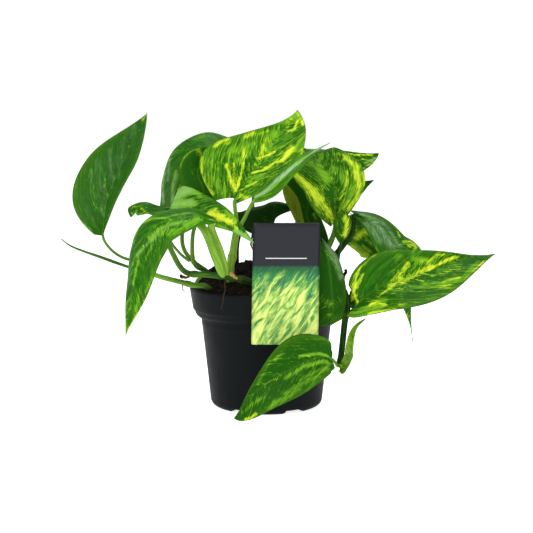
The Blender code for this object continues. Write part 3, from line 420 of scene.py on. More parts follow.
        paintedSheen=[(83, 59, 95, 75, 1.1, 0.4)]),
    "rightFar": dict(
        node="leaf_right_far", stalk=[(30, 24, 82), (44.6, 26, 109.2), (53.8, 28, 128.4), (54.7, 30, 139.5)],
        rib=[(52, 31, 150), (64, 32, 161), (75, 33, 168), (87, 33, 175)], face=[(-0.3, -0.7, 0.7),
        (-0.4, -0.7, 0.6), (-0.3, -0.7, 0.6)],
        width=(12, 10), widest=(0.35, 0.35), point=(1.3, 1.3), lobe=3, fold=10, curl=0, wave=0.4, tone=0.25,
        flecks=0.15, streaks=0.25),
    "rightArching": dict(
        node="leaf_right_arching", thick=(2.5, 1.3), stalk=[(51.8, -15, 117.6), (59, -15, 126.8),
        (65.2, -14, 134.4), (67.2, -12, 142.7)],
        rib=[(67.6, -11, 150), (81.9, -14, 143.5), (100, -17, 128.2), (113.7, -18, 117.8),
        (110.5, -14, 85.7), (114.1, -10, 47.4)], face=[(0, -0.6, 0.8), (0.5, -0.7, 0.5), (0.6, -0.7, 0.1)],
        width=(15.1, 21.1), widest=(0.277, 0.407), point=(2.5, 2.6), lobe=5.5, fold=-6.7, curl=-1.6,
        wave=0.7, tone=0.34, flecks=0.05, streaks=0.25, stalkTone=0.05,
        yellow=[(34, -41, 39, -75, 2.3, 0.95), (38, -25, 41, -76, 2.1, 0.9), (28, -74, 30, -60, 1.5, 0.95),
        (41, -26, 42, -85, 1.4, 0.9), (77, 83, 82, 49, 1.4, 0.5)],
        pale=[(5, -47, 15, -41, 1.8, 0.4), (18, -51, 33, 3, 1.4, 0.35), (78, 100, 90, 100, 1.4, 0.7)],
        paintedSheen=[(5, -47, 18, -51, 3.1, 0.4), (12, -12, 29, 28, 4, 0.48), (20, -49, 33, 3, 2.7, 0.3),
        (11, 50, 23, 54, 2.7, 0.42)]),
    "rightLower": dict(
        node="leaf_right_lower", stalk=[(43, 2, 80), (51, 3, 105), (56.2, 4, 121), (60.5, 4, 129)],
        rib=[(62, 5, 137), (76, 9, 135), (92, 12, 127), (104, 12, 113)], face=[(0, -0.8, 0.6),
        (0.2, -0.8, 0.5), (0.5, -0.7, 0.3)],
        width=(15, 23), widest=(0.3, 0.35), point=(1.3, 1.2), lobe=5, fold=4, curl=-1, wave=0.6, tone=0.3,
        flecks=0.2, streaks=0.35, stalkTone=0.15,
        yellow=[(18, 33, 33, -15, 3, 1.05), (33, -15, 37, -34, 1.7, 0.8), (10, 100, 21, 98, 3, 1),
        (21, 98, 48, 100, 2.8, 1), (46, 34, 64, 56, 1.5, 0.85), (30, 58, 59, 80, 1.1, 0.8),
        (14, -29, 18, 7, 1.4, 0.6)],
        pale=[(14, -55, 17, -2, 2.7, 0.5), (35, 29, 66, 41, 1.4, 0.6), (10, 93, 42, 91, 4, 1),
        (16, 39, 36, -14, 3.1, 0.9)]),
    "rightSmall": dict(
        node="leaf_right_small", thick=(1.2, 0.9), stalk=[(52, -34, 98), (53, -33, 110), (55, -31, 124)],
        rib=[(56, -31, 129.9), (57.7, -32, 141.7), (58.1, -33, 150.8), (55.7, -34, 155.7)],
        face=[(-0.1, -0.9, 0.3), (-0.1, -0.95, 0.1), (-0.1, -0.95, 0.1)],
        width=(6.8, 5.9), widest=(0.438, 0.502), point=(1.05, 1.4), lobe=0.5, fold=13, curl=-0.3, wave=0.3,
        tone=0.2, flecks=0.2, streaks=0.3, stalkTone=0.1,
        yellow=[(74, 16, 53, 45, 2.5, 1.15), (56, 44, 25, 54, 2.5, 1.05)]),
    "bigRight": dict(
        node="leaf_big_right", stalk=[(60, -47.5, 85.5), (63.5, -48, 84.5)],
        rib=[(65.8, -48, 85.1), (69.1, -52, 88.6), (86.7, -56, 101.4), (110.2, -58, 108.8),
        (140.2, -56, 119.5), (170.5, -47, 123.4)], face=[(-0.2, -0.8, 0.6), (-0.1, -0.8, 0.6),
        (0.1, -0.8, 0.6)],
        width=(24.5, 31.7), widest=(0.318, 0.447), point=(2.61, 1.4), lobe=13.3, fold=18.8, curl=-0.9,
        wave=0.9, tone=0.37, flecks=0.28, streaks=0.36, stalkTone=0.1,
        yellow=[(30, -99, 26, -90, 1, 1), (26, -90, 21, -89, 1.2, 1), (21, -89, 14, -74, 1.2, 0.95),
        (14, -74, 7, -56, 1.8, 1.05), (7, -56, 3, 12, 1.4, 1), (20, -72, 12, -55, 1.4, 0.85),
        (10, -85, 4, -61, 1.1, 0.85), (20, 35, 28, 21, 1.2, 0.8), (28, 21, 35, -1, 2.8, 0.78),
        (34, -6, 43, -44, 2.1, 0.68), (27, 11, 35, -24, 1.9, 0.6), (35, 14, 42, -2, 2.1, 0.75),
        (42, 3, 49, -10, 1.9, 0.75), (46, 1, 55, -19, 2.3, 0.75), (53, -4, 62, -16, 1.2, 1.05),
        (62, -16, 72, -44, 1.4, 0.95), (44, 15, 48, 28, 0.9, 0.75), (32, 30, 36, 33, 0.9, 0.7),
        (58, 55, 68, 73, 1.3, 0.75), (55, 68, 62, 76, 1.3, 0.5), (63, 28, 70, 38, 1.4, 0.42),
        (62, -70, 66, -75, 1.1, 0.75), (52, -45, 61, -57, 2.3, 0.5), (14, 56, 18, 60, 1.4, 1.15),
        (18, 60, 24, 78, 1, 0.85), (33, 86, 36, 89, 1.1, 0.6), (14, 95, 21, 95, 0.9, 0.95),
        (21, 95, 31, 98, 0.8, 0.8), (88, 79, 79, 85, 0.9, 0.8), (79, 85, 70, 89, 0.9, 0.6),
        (27, -82, 14, -20, 4.8, -0.5), (33, -76, 24, -20, 4.8, -0.45), (30, 68, 52, 78, 2.8, -0.4),
        (40, -84, 56, -79, 2.4, -0.4), (76, 21, 88, 12, 2.8, -0.3)],
        pale=[(40, -75, 32, -65, 2.7, 0.35), (48, -60, 58, -35, 3.1, 0.55), (30, 39, 52, 46, 2.7, 0.42),
        (55, 60, 66, 70, 3.6, 0.5), (59, 20, 70, 24, 3.6, 0.42), (9, 80, 21, 78, 3.1, 0.55),
        (24, 60, 15, 49, 1.8, 0.5), (84, 54, 69, 80, 1.8, 0.5), (27, -82, 14, -20, 4.5, -0.6),
        (33, -76, 24, -20, 4.5, -0.5)]),
    "byLabel": dict(
        node="leaf_by_label", stalk=[(30, -24, 80), (33, -28, 96), (36, -36, 112), (39, -43, 124)],
        rib=[(40.9, -48, 131.4), (45.4, -54, 119.6), (48.8, -57, 83.5), (45.1, -58, 79.3),
        (36.7, -58, 71.2)], face=[(0.4, -0.7, 0.6), (0.2, -0.95, 0.1), (0.05, -1, 0)],
        width=(12.2, 15), widest=(0.489, 0.615), point=(0.7, 0.76), lobe=4.7, fold=-13.7, curl=-0.4,
        wave=0.5, tone=0.1, flecks=0, streaks=0.15, stalkTone=0.1,
        yellow=[(60, 50, 68, -9, 2.8, 0.2), (60, -40, 66, -61, 1.4, 0.4)],
        pale=[(10, -20, 26, -65, 3.1, 0.6), (26, -65, 40, -79, 2.7, 0.6), (62, 51, 70, -24, 4.5, 0.4),
        (81, 1, 78, -99, 3.1, 0.4)],
        paintedSheen=[(7, -49, 24, -71, 2.7, 0.6), (24, -71, 41, -76, 2.3, 0.5)]),
    "curled": dict(
        node="leaf_curled", thick=(1.2, 0.9), stalk=[(54, -60, 42), (56, -60, 38)],
        rib=[(54.3, -64, 40.1), (58.6, -65, 41), (62.9, -65, 49.6), (63.1, -63, 54.7), (65.9, -58, 68.3),
        (74, -52, 76.3)], face=[(-0.8, -0.6, 0.2), (-0.8, -0.6, 0.2), (-0.8, -0.6, 0.2)],
        width=(5.3, 7), widest=(0.223, 0.298), point=(0.87, 1.41), lobe=1.3, fold=36.5, curl=1.6, wave=0.2,
        tone=0.8, olive=0.25, flecks=0.25, streaks=0.7, stalkTone=0.3,
        yellow=[(38, -61, 51, -51, 1.5, 0.6), (57, 100, 77, 69, 1.1, 0.5)],
        pale=[(12, -24, 35, 100, 3.6, 0.8), (51, 100, 77, 69, 2.2, 0.8)],
        paintedSheen=[(18, -49, 41, -36, 2.7, 0.3)]),
    "frontLow": dict(
        node="leaf_front_low", thick=(1.2, 0.9), stalk=[(54, -60, 42.5), (52, -66, 43)],
        rib=[(47.3, -76, 49.9), (39.6, -81, 52.7), (20.4, -87, 46.2), (-6.7, -91, 30.2), (-23.3, -90, 9.8)],
        face=[(0.1, -0.9, 0.4), (0.1, -0.85, 0.5), (-0.1, -0.8, 0.55)],
        width=(21.1, 21.1), widest=(0.468, 0.264), point=(0.58, 2.28), lobe=0.7, fold=12.7, curl=-1.4,
        wave=0.7, steady=0.8, tone=0.2, flecks=0.12, streaks=0.3, stalkTone=0.4,
        yellow=[(27, 25, 21, 15, 0.9, 0.55), (60, 1, 52, -4, 0.8, 0.6), (93, -86, 89, -90, 1.2, 0.9),
        (89, -90, 83, -82, 1.2, 1)],
        pale=[(28, 26, 1, -5, 1.2, 0.75), (7, -40, 29, -14, 2.2, 0.74), (29, -14, 46, -20, 2.3, 0.62),
        (13, -64, 37, -51, 2.9, 0.5), (23, -74, 53, -70, 2.9, 0.47), (41, -82, 71, -91, 2.3, 0.5),
        (70, -39, 91, -32, 1.8, 0.4), (46, 68, 37, 73, 1.6, 0.45), (67, 43, 50, 79, 1.4, 0.35)]),
    "backCentre": dict(
        node="leaf_back_centre", stalk=[(-22, 14, 132.5), (-21.5, 17, 141)],
        rib=[(-23.9, 21, 148.2), (-3.1, 23, 153.7), (9.5, 24, 156.6), (36.2, 24, 150.2)],
        face=[(0.2, -0.4, 1), (0.2, -0.7, 0.9), (0.3, -0.6, 0.9)],
        width=(5, 22.7), widest=(0.224, 0.22), point=(1.47, 2.3), lobe=0.2, fold=-21.3, curl=-0.3, wave=0.5,
        steady=2, tone=-0.12, flecks=0.1, streaks=0.12, stalkTone=0.1,
        yellow=[(32, 45, 40, 74, 1.9, 0.3)]),
    "olive": dict(
        node="leaf_olive", stalk=[(24, -2, 82), (27, -1, 110), (29, 0, 127)],
        rib=[(29, 1, 137.4), (25.2, 3, 143.4), (21.3, 5, 158.8), (12.5, 7, 174.3)], face=[(-0.3, -0.9, 0.2),
        (-0.3, -0.9, 0.2), (-0.3, -0.9, 0.2)],
        width=(5.6, 5), widest=(0.616, 0.379), point=(1.07, 0.52), lobe=2.6, fold=16.8, curl=0.5, wave=0.4,
        tone=0.8, olive=0.75, flecks=0.2, streaks=0.4, stalkTone=0.1,
        yellow=[(73, -66, 52, -72, 1.9, 0.5), (37, -11, 21, -9, 1.9, 0.4)]),
    "darkCentre": dict(
        node="leaf_dark_centre", stalk=[(34, 12, 80), (41, 14, 100), (46, 16, 112)],
        rib=[(44.9, 17, 119.8), (32.5, 18, 145.3), (33, 19, 158.5), (21.7, 19, 188.8)], face=[(0, -0.9, 0.3),
        (0, -0.95, 0.2), (0, -0.95, 0.2)],
        width=(12.6, 10), widest=(0.722, 0.332), point=(0.81, 1.22), lobe=3.5, fold=7, curl=0.1, wave=0.5,
        steady=2, tone=0.06, flecks=0.1, streaks=0.1, stalkTone=0.05,
        yellow=[(41, 59, 34, 58, 1.4, 0.6)]),
    "rearUpright": dict(
        node="leaf_rear_upright", stalk=[(-6, 30, 82), (-3.7, 38, 113.6), (-7.8, 50, 136.4),
        (-11.1, 51, 152.7)],
        rib=[(-10, 52, 168), (-12, 58, 182), (-15, 61, 194), (-18, 62, 204)], face=[(0, 0.9, 0.3),
        (0, 0.95, -0.1), (0, 1, 0)],
        width=(22, 22), widest=(0.35, 0.35), point=(1.2, 1.2), lobe=6, fold=6, curl=-2, wave=1, tone=0.35,
        flecks=0.22, streaks=0.36,
        yellow=[(10, 5, 35, 50, 1.6, 1), (35, 50, 55, 70, 1.8, 0.8), (25, -10, 50, -50, 2.2, 0.8),
        (55, -30, 80, -10, 1.5, 0.9), (60, 20, 75, 45, 2.4, 0.7)],
        pale=[(30, -60, 60, -70, 4, 0.5), (30, 20, 70, 10, 4, 0.4)]),
    "rearRight": dict(
        node="leaf_rear_right", stalk=[(26, 38, 80), (29, 46, 95), (32, 54, 100)],
        rib=[(34, 60, 103), (39, 72, 105), (42, 84, 96), (43, 92, 78), (42, 96, 54)], face=[(0, 0.3, 1),
        (0.1, 0.7, 0.6), (0.1, 1, 0.1)],
        width=(18, 18), widest=(0.33, 0.33), point=(1.3, 1.3), lobe=6, fold=-8, curl=-2, wave=0.8, tone=0.3,
        flecks=0.2, streaks=0.34,
        yellow=[(15, -30, 30, -75, 1.8, 1), (30, 10, 55, 45, 2, 0.85), (45, -10, 70, -30, 1.6, 0.8),
        (75, 10, 90, 0, 1.2, 0.9)],
        pale=[(20, 40, 50, 70, 4, 0.5), (50, -50, 70, -30, 3, 0.5)]),
    "rearLeft": dict(
        node="leaf_rear_left", stalk=[(-26, 38, 80), (-28, 47, 94), (-30, 54, 98)],
        rib=[(-32, 60, 96), (-37, 72, 94), (-41, 84, 86), (-43, 93, 69), (-42, 97, 46)], face=[(0, 0.3, 1),
        (-0.1, 0.7, 0.6), (-0.1, 1, 0.1)],
        width=(22, 22), widest=(0.33, 0.33), point=(1.3, 1.3), lobe=6, fold=-8, curl=-2, wave=0.9, tone=0.38,
        flecks=0.2, streaks=0.36,
        yellow=[(10, 20, 30, 70, 2.2, 0.95), (35, -15, 60, -55, 2.2, 0.85), (50, 20, 75, 35, 1.4, 0.8),
        (80, -20, 93, 0, 1.3, 0.9)],
        pale=[(20, -40, 50, -70, 4, 0.5), (60, 40, 80, 20, 3, 0.5)]),
    "rearLow": dict(
        node="leaf_rear_low", stalk=[(6, 40, 80), (9, 46, 108), (12, 56, 120)],
        rib=[(13, 63, 112), (15, 77, 111), (17, 90, 98), (17, 96, 76), (15, 97, 50)], face=[(0, 0.4, 1),
        (0, 0.8, 0.5), (0, 1, 0)],
        width=(20, 20), widest=(0.33, 0.33), point=(1.3, 1.3), lobe=6, fold=-8, curl=-2, wave=0.9, tone=0.25,
        flecks=0.2, streaks=0.32,
        yellow=[(12, -15, 35, -70, 1.5, 1), (30, 30, 50, 75, 2.4, 0.75), (50, 0, 72, 20, 1.8, 0.8)],
        pale=[(20, 10, 40, 30, 4, 0.5), (60, -40, 80, -20, 3, 0.5)]),
    "rearTop": dict(
        node="leaf_rear_top", stalk=[(14, 38, 80), (18, 42, 120), (31, 42, 155)],
        rib=[(36, 44, 164), (42, 50, 178), (50, 56, 186), (60, 62, 189)], face=[(0.2, 0.7, 0.6),
        (0.2, 0.7, 0.7), (0.3, 0.6, 0.7)],
        width=(18, 18), widest=(0.33, 0.33), point=(1.3, 1.3), lobe=5, fold=6, curl=-2, wave=0.8, tone=0.35,
        flecks=0.22, streaks=0.36,
        yellow=[(10, -20, 30, -70, 2, 0.9), (30, 20, 60, 60, 2.2, 0.85), (60, -10, 80, -30, 1.5, 0.8)],
        pale=[(30, -20, 60, -50, 4, 0.5)]),
    "rearSide": dict(
        node="leaf_rear_side", stalk=[(-59, 1, 114), (-64, 1, 121), (-66, 3, 130), (-65, 18, 143),
        (-59, 36, 150)],
        rib=[(-57, 44, 153), (-60, 54, 166), (-64, 60, 178), (-66, 64, 190)], face=[(-0.4, 0.8, 0.4),
        (-0.4, 0.85, 0.2), (-0.4, 0.9, 0.1)],
        width=(20, 19), widest=(0.33, 0.35), point=(1.3, 1.3), lobe=6, fold=6, curl=-2, wave=0.9, tone=0.35,
        flecks=0.22, streaks=0.36,
        yellow=[(15, 30, 40, 80, 2, 1), (30, -10, 55, -60, 2.4, 0.8), (60, 10, 85, 20, 1.6, 0.85)],
        pale=[(20, -50, 40, -70, 3, 0.5), (50, 30, 70, 50, 3, 0.5)]),
}


def halfWidth(along, widest, point):
    # 1 at the widest place, about a quarter of that at the stalk and 0 at the tip
    start = leafBuild["baseStart"]
    basePower = point * (widest + start) / (1 - widest)
    return ((along + start) / (widest + start))**basePower * ((1 - along) / (1 - widest))**point


def bladeSurface(leaf, along, across):
    # point of the blade's middle surface: the rib's place plus the half width sideways, lifted by
    # fold, curl and a margin ripple; also how far out the point lies and where the vein there began
    fine = smoothPath(leaf["rib"], ribReadings)
    length = pathLength(leaf["rib"])
    place = np.linspace(0.0, 1.0, ribReadings)
    tangent = unit(np.gradient(fine, axis=0))
    faces = unit(np.array(leaf["face"], dtype=float))
    facing = np.column_stack([np.interp(place, (0.0, 0.5, 1.0), faces[:, k]) for k in range(3)])
    facing = unit(facing - (facing * tangent).sum(axis=1, keepdims=True) * tangent)
    steady = unit(tangent + leaf["steady"] * (fine[-1] - fine[0]) / length)
    sideways = unit(np.cross(steady, facing))
    isLeft = across < 0
    size = np.where(isLeft, *(leaf["width"][side] * halfWidth(along, leaf["widest"][side], leaf["point"][side])
                              for side in (0, 1)))
    reach = np.abs(across)
    out = reach * size
    lobe = np.where(isLeft, *np.broadcast_to(leaf["lobe"], 2))
    at = along - lobe / length * (1 - along)**3 * reach**1.5
    inside = np.clip(at, 0.0, 1.0)

    def read(rows):
        return np.stack([np.interp(inside, place, rows[:, k]) for k in range(3)], axis=-1)

    facings = unit(read(facing))
    centre = read(fine) + np.minimum(at, 0.0)[..., None] * length * unit(read(tangent))
    fold = math.radians(leaf["fold"])
    ripple = leaf["wave"] * reach**3 * np.sin(along * leafBuild["rippleRate"]
                                              + across * leafBuild["rippleSlant"])
    ripple = ripple * np.sqrt(np.sin(math.pi * along).clip(0.0))
    lift = out * math.sin(fold) + leaf["curl"] * reach**2 * size / max(leaf["width"]) + ripple
    points = (centre + (np.sign(across) * out * math.cos(fold))[..., None] * unit(read(sideways))
              + lift[..., None] * facings)
    first, later = leafBuild["veinSlant"]
    veinStart = along * length - out * (first + later * reach)
    return points, np.sign(across) * out, veinStart, facings


def strokes(leaf, marks, run, out, length):
    # how strongly a blade place is marked: exp(-(distance / half thickness)^2) from each mark's line;
    # the strongest mark counts, and a mark with a strength below 0 takes away
    total = np.zeros(run.shape)
    for a0, c0, a1, c1, halfSize, strength in marks:
        ends = []
        for a, c in ((a0 / 100, c0 / 100), (a1 / 100, c1 / 100)):
            side = 0 if c < 0 else 1
            wide = leaf["width"][side] * halfWidth(a, leaf["widest"][side], leaf["point"][side])
            ends.append((a * length, c * wide))
        (x0, y0), (x1, y1) = ends
        dx, dy = x1 - x0, y1 - y0
        t = np.clip(((run - x0) * dx + (out - y0) * dy) / max(dx * dx + dy * dy, 1e-6), 0.0, 1.0)
        away = np.hypot(run - x0 - t * dx, out - y0 - t * dy)
        part = strength * np.exp(-(away / halfSize)**2)
        total = np.maximum(total, part) if strength > 0 else total + part
    return total


def bladePart(leaf, number):
    # the blade as rings: across the upper side from left to right margin, then back underneath
    build = leafBuild
    length = pathLength(leaf["rib"])
    rows = int(length / build["rowEvery"]) + build["extraRows"]
    columns = 2 * int(sum(leaf["width"]) / build["columnEvery"] / 2) + build["extraColumns"]
    along = build["firstRow"] + build["rowReach"] * np.linspace(0.0, 1.0, rows)**build["rowSpread"]
    u = np.linspace(-1.0, 1.0, columns)
    along, across = np.meshgrid(along, np.sign(u) * np.abs(u)**build["columnSpread"], indexing="ij")
    points, out, veinStart, facings = bladeSurface(leaf, along, across)
    normal = unit(np.cross(np.gradient(points, axis=0), np.gradient(points, axis=1)))
    normal = np.where((normal * facings).sum(axis=-1, keepdims=True) < 0, -normal, normal)
    ribLine = np.exp(-(out / build["ribWidth"])**2) * np.sqrt(np.clip(1 - along, 0.0, 1.0))
    every = build["veinEvery"]
    veinLine = np.exp(-((((veinStart / every) % 1.0) - 0.5) * every / build["veinWidth"])**2)
    veinLine = (veinLine * np.clip(1 - np.abs(across)**4, 0, 1)
                * np.clip(np.abs(out) / build["veinFree"], 0, 1))
    margin = np.abs(across)**build["marginPower"]
    edge = (np.sqrt(np.clip(1 - margin, 0.0, 1.0))
            * np.clip((1 - along) * build["tipTaper"], build["leastEdge"], 1))
    half = 0.5 * build["thickness"] * edge[..., None]
    ribRelief, veinRelief = build["ribDepth"] * ribLine, build["veinDepth"] * veinLine
    top = points + normal * (half - (ribRelief + veinRelief)[..., None])
    under = points - normal * (half + (build["ribUnder"] * ribRelief + veinRelief)[..., None])

    def allRound(upper, lower=None):
        return np.concatenate([upper, (upper if lower is None else lower)[:, -2:0:-1]], axis=1)

    run = along * length
    side = allRound(np.zeros_like(along), np.ones_like(along))
    fields = {
        "veinPlace": np.stack([allRound(veinStart) / centimetre, allRound(out) / centimetre,
                               np.full(side.shape, number * build["patternStep"])], axis=-1),
        "underside": side,
        "ribNear": allRound(ribLine),
        "marginNear": allRound(margin),
        "yellowMark": allRound(strokes(leaf, leaf["yellow"], run, out, length) + leaf["flecks"]),
        "paleMark": allRound(strokes(leaf, leaf["pale"], run, out, length) + leaf["streaks"]),
        "dustyMark": allRound(strokes(leaf, leaf["paintedSheen"], run, out, length)),
        "leafTone": np.full(side.shape, leaf["tone"]),
        "leafAge": np.full(side.shape, leaf["olive"]),
    }
    return ringPart(allRound(top, under), fields)


def stalkPart(leaf):
    # the leaf stalk: a tube that thins towards the blade, grooved along its upper side; a sheathed one
    # is a broad flat trough that opens to the front
    build = leafBuild
    sheath = leaf["sheath"]
    rib = smoothPath(leaf["rib"], build["stalkReadings"])
    step = int(build["stalkRunIn"] / pathLength(leaf["rib"]) * build["stalkReadings"]) + 1
    face = unit(np.array(leaf["face"][0], dtype=float))
    sunk = build["sheathSunk"] if sheath else build["stalkSunk"]
    points = leaf["stalk"] + [tuple(rib[0] - sunk * face), tuple(rib[step] - (sunk + 0.2) * face)]
    length = pathLength(points)
    path = smoothPath(points, int(length / build["stalkEvery"]) + build["extraRings"])
    place = np.linspace(0.0, 1.0, len(path))
    nearEnd = np.clip((1 - place) * length / (build["stalkRunIn"] + 3.0), 0.0, 1.0)
    kneeAt = place - 1 + (build["stalkRunIn"] + 2.0) / length
    knee = 1 + build["kneeSwelling"] * np.exp(-(kneeAt * length / build["kneeLength"])**2)
    low, high = sheath or leaf["thick"]
    radius = ((low + (high - low) * place)
              * (build["stalkEnd"] + (1 - build["stalkEnd"]) * nearEnd**0.6) * knee)
    fields = {"stemTone": np.full(len(path), leaf["stalkTone"])}
    if not sheath:
        return sweep(path, radius, build["stalkSides"], fields, build["groove"], face, finish=1)
    rounding = np.sqrt(np.clip(place * length / build["sheathRound"], 0.0, 1.0))
    radius = radius * (build["sheathStart"] + (1 - build["sheathStart"]) * rounding)
    radius = radius * np.interp(place, build["sheathEnds"], (1.0, build["sheathTip"]))
    return sweep(path, radius, build["sheathSides"], fields, build["sheathGroove"], (0, -1, 0),
                 finish=1, flat=build["sheathFlat"])


leafColours = dict(deep=(0.012, 0.076, 0.004, 1), mid=(0.037, 0.19, 0.007, 1), bright=(0.11, 0.34, 0.012, 1),
                   pale=(0.21, 0.46, 0.025, 1), lime=(0.26, 0.47, 0.012, 1), yellow=(0.66, 0.74, 0.04, 1),
                   rib=(0.2, 0.46, 0.03, 1), paintedSheen=(0.32, 0.5, 0.26, 1), margin=(0.17, 0.38, 0.02, 1),
                   olive=(0.19, 0.18, 0.012, 1), underside=(0.08, 0.2, 0.02, 1), shaded=(0.25, 0.3, 0.25, 1),
                   shine=(0.5, 1.0, 0.3, 1))
# pairs give where a colour begins and where it is full
leafFinish = dict(roughness=0.34, specular=0.055, midAt=(0.4, 0.66), brightAt=(0.56, 0.82), patchAt=(0.5, 0.62),
                  patchLeast=0.2, patchMost=0.65, patchOverYellow=-0.22, paleAt=(0.4, 1.1), pale=0.85,
                  limeAt=(0.42, 0.85), lime=0.85, yellowAt=(0.75, 1.35), yellow=0.95, paintedSheenAt=(0.32, 0.66),
                  rib=0.15, margin=0.18, underside=0.55, shadedAt=(0.2, -0.1), smoothest=0.27, roughest=0.6,
                  poreScale=900.0, poreBump=(0.05, 0.0004), streakBump=(0.2, 0.0014))


def leafSkin():
    # waxy green blade: streaks that follow the side veins, yellow and pale marks broken up by noise, painted
    # sheen streaks, a light midrib and margin, a duller olive underside, and painted shade on the darkest leaves
    f, c = leafFinish, leafColours
    material, w, shader = newMaterial("leafSkin", f["roughness"], f["specular"])
    place = w.field("veinPlace", vector=True)
    wide = w.stretched(place, (1.9, 0.9, 1.0), detail=4.0, rough=0.6, twist=0.5)
    streak = w.stretched(place, (4.6, 2.2, 1.0), (3.1, 1.7, 0.4), detail=4.0, rough=0.7, twist=1.2)
    fine = w.stretched(place, (13.0, 8.0, 1.0), (0.3, 5.7, 1.4), rough=0.6, twist=0.6)
    patch = w.stretched(place, (2.3, 1.3, 1.0), (8.0, 2.0, 0.0), rough=0.6, twist=0.6)
    patch = w.between(patch, *f["patchAt"])
    under = w.field("underside")
    tone = w.field("leafTone")
    mixed = w.plus(w.times(wide, 0.5), w.times(streak, 0.5))
    shade = w.plus(mixed, w.math("MULTIPLY_ADD", tone, 0.55, -0.22))
    base = w.blend(w.between(shade, *f["midAt"]), c["deep"], c["mid"])
    base = w.blend(w.between(shade, *f["brightAt"]), base, c["bright"])
    patched = w.times(patch, w.between(w.field("paleMark"), 0.2, 0.9, f["patchMost"], f["patchLeast"]))
    base = w.blend(patched, base, c["deep"])
    rough = w.plus(w.times(streak, 0.7), w.times(wide, 0.3))
    palePart = w.between(w.plus(w.field("paleMark"), w.math("MULTIPLY_ADD", rough, 3.0, -1.5)), *f["paleAt"])
    base = w.blend(w.times(palePart, f["pale"]), base, w.blend(fine, c["bright"], c["pale"]))
    broken = w.plus(w.times(streak, 0.65), w.times(fine, 0.35))
    mark = w.plus(w.field("yellowMark"), w.math("MULTIPLY_ADD", broken, 4.4, -2.2))
    mark = w.plus(mark, w.times(patch, f["patchOverYellow"]))
    base = w.blend(w.times(w.between(mark, *f["limeAt"]), f["lime"]), base, c["lime"])
    base = w.blend(w.times(w.between(mark, *f["yellowAt"]), f["yellow"]), base, c["yellow"])
    # painted sheen: greyish streaks over the sheen marks, where the glossy blade catches the light
    sheenPart = w.between(streak, *f["paintedSheenAt"], 1.15, 0.2)
    base = w.blend(w.times(w.field("dustyMark"), sheenPart), base, c["paintedSheen"])
    base = w.blend(w.times(w.field("ribNear"), f["rib"]), base, c["rib"])
    base = w.blend(w.times(w.field("marginNear"), f["margin"]), base, c["margin"])
    base = w.blend(w.times(w.field("leafAge"), w.between(fine, 0.2, 0.7, 1.0, 0.6)), base, c["olive"])
    base = w.blend(w.times(under, f["underside"]), base, c["underside"])
    # painted shade: leaves given the lowest tones, which hang in shadow, are darkened further
    base = w.blend(w.between(tone, *f["shadedAt"]), base, c["shaded"], "MULTIPLY")
    w.link(base, shader.inputs["Base Color"])
    dull = w.plus(w.times(under, 0.45), w.times(streak, 0.5))
    w.link(w.between(dull, 0.1, 0.9, f["roughest"], f["smoothest"]), shader.inputs["Roughness"])
    shader.inputs["Specular Tint"].default_value = c["shine"]
    pores = w.node("ShaderNodeTexVoronoi")
    w.link(w.objectPlace(), pores.inputs["Vector"])
    pores.inputs["Scale"].default_value = f["poreScale"]
    grain = w.bump(pores.outputs["Distance"], *f["poreBump"])
    w.link(w.bump(streak, *f["streakBump"], grain), shader.inputs["Normal"])
    return material


stemColours = dict(dark=(0.006, 0.022, 0.005, 1), green=(0.05, 0.15, 0.015, 1), light=(0.16, 0.33, 0.03, 1),
                   pale=(0.38, 0.62, 0.08, 1), freckle=(0.08, 0.10, 0.02, 1), joint=(0.13, 0.07, 0.025, 1),
                   root=(0.022, 0.013, 0.006, 1), rootTip=(0.06, 0.036, 0.018, 1), bud=(0.38, 0.22, 0.08, 1))
stemFinish = dict(roughness=0.36, lightAt=(0.3, 0.65), greenAt=(0.05, 0.3), paleAt=(0.65, 1.0),
                  freckleAt=(0.58, 0.72), freckle=0.3, jointAt=(0.4, 1.0), jointDark=0.25, jointLight=0.15,
                  shineDark=0.03, shineLight=0.14, bump=(0.22, 0.0006))


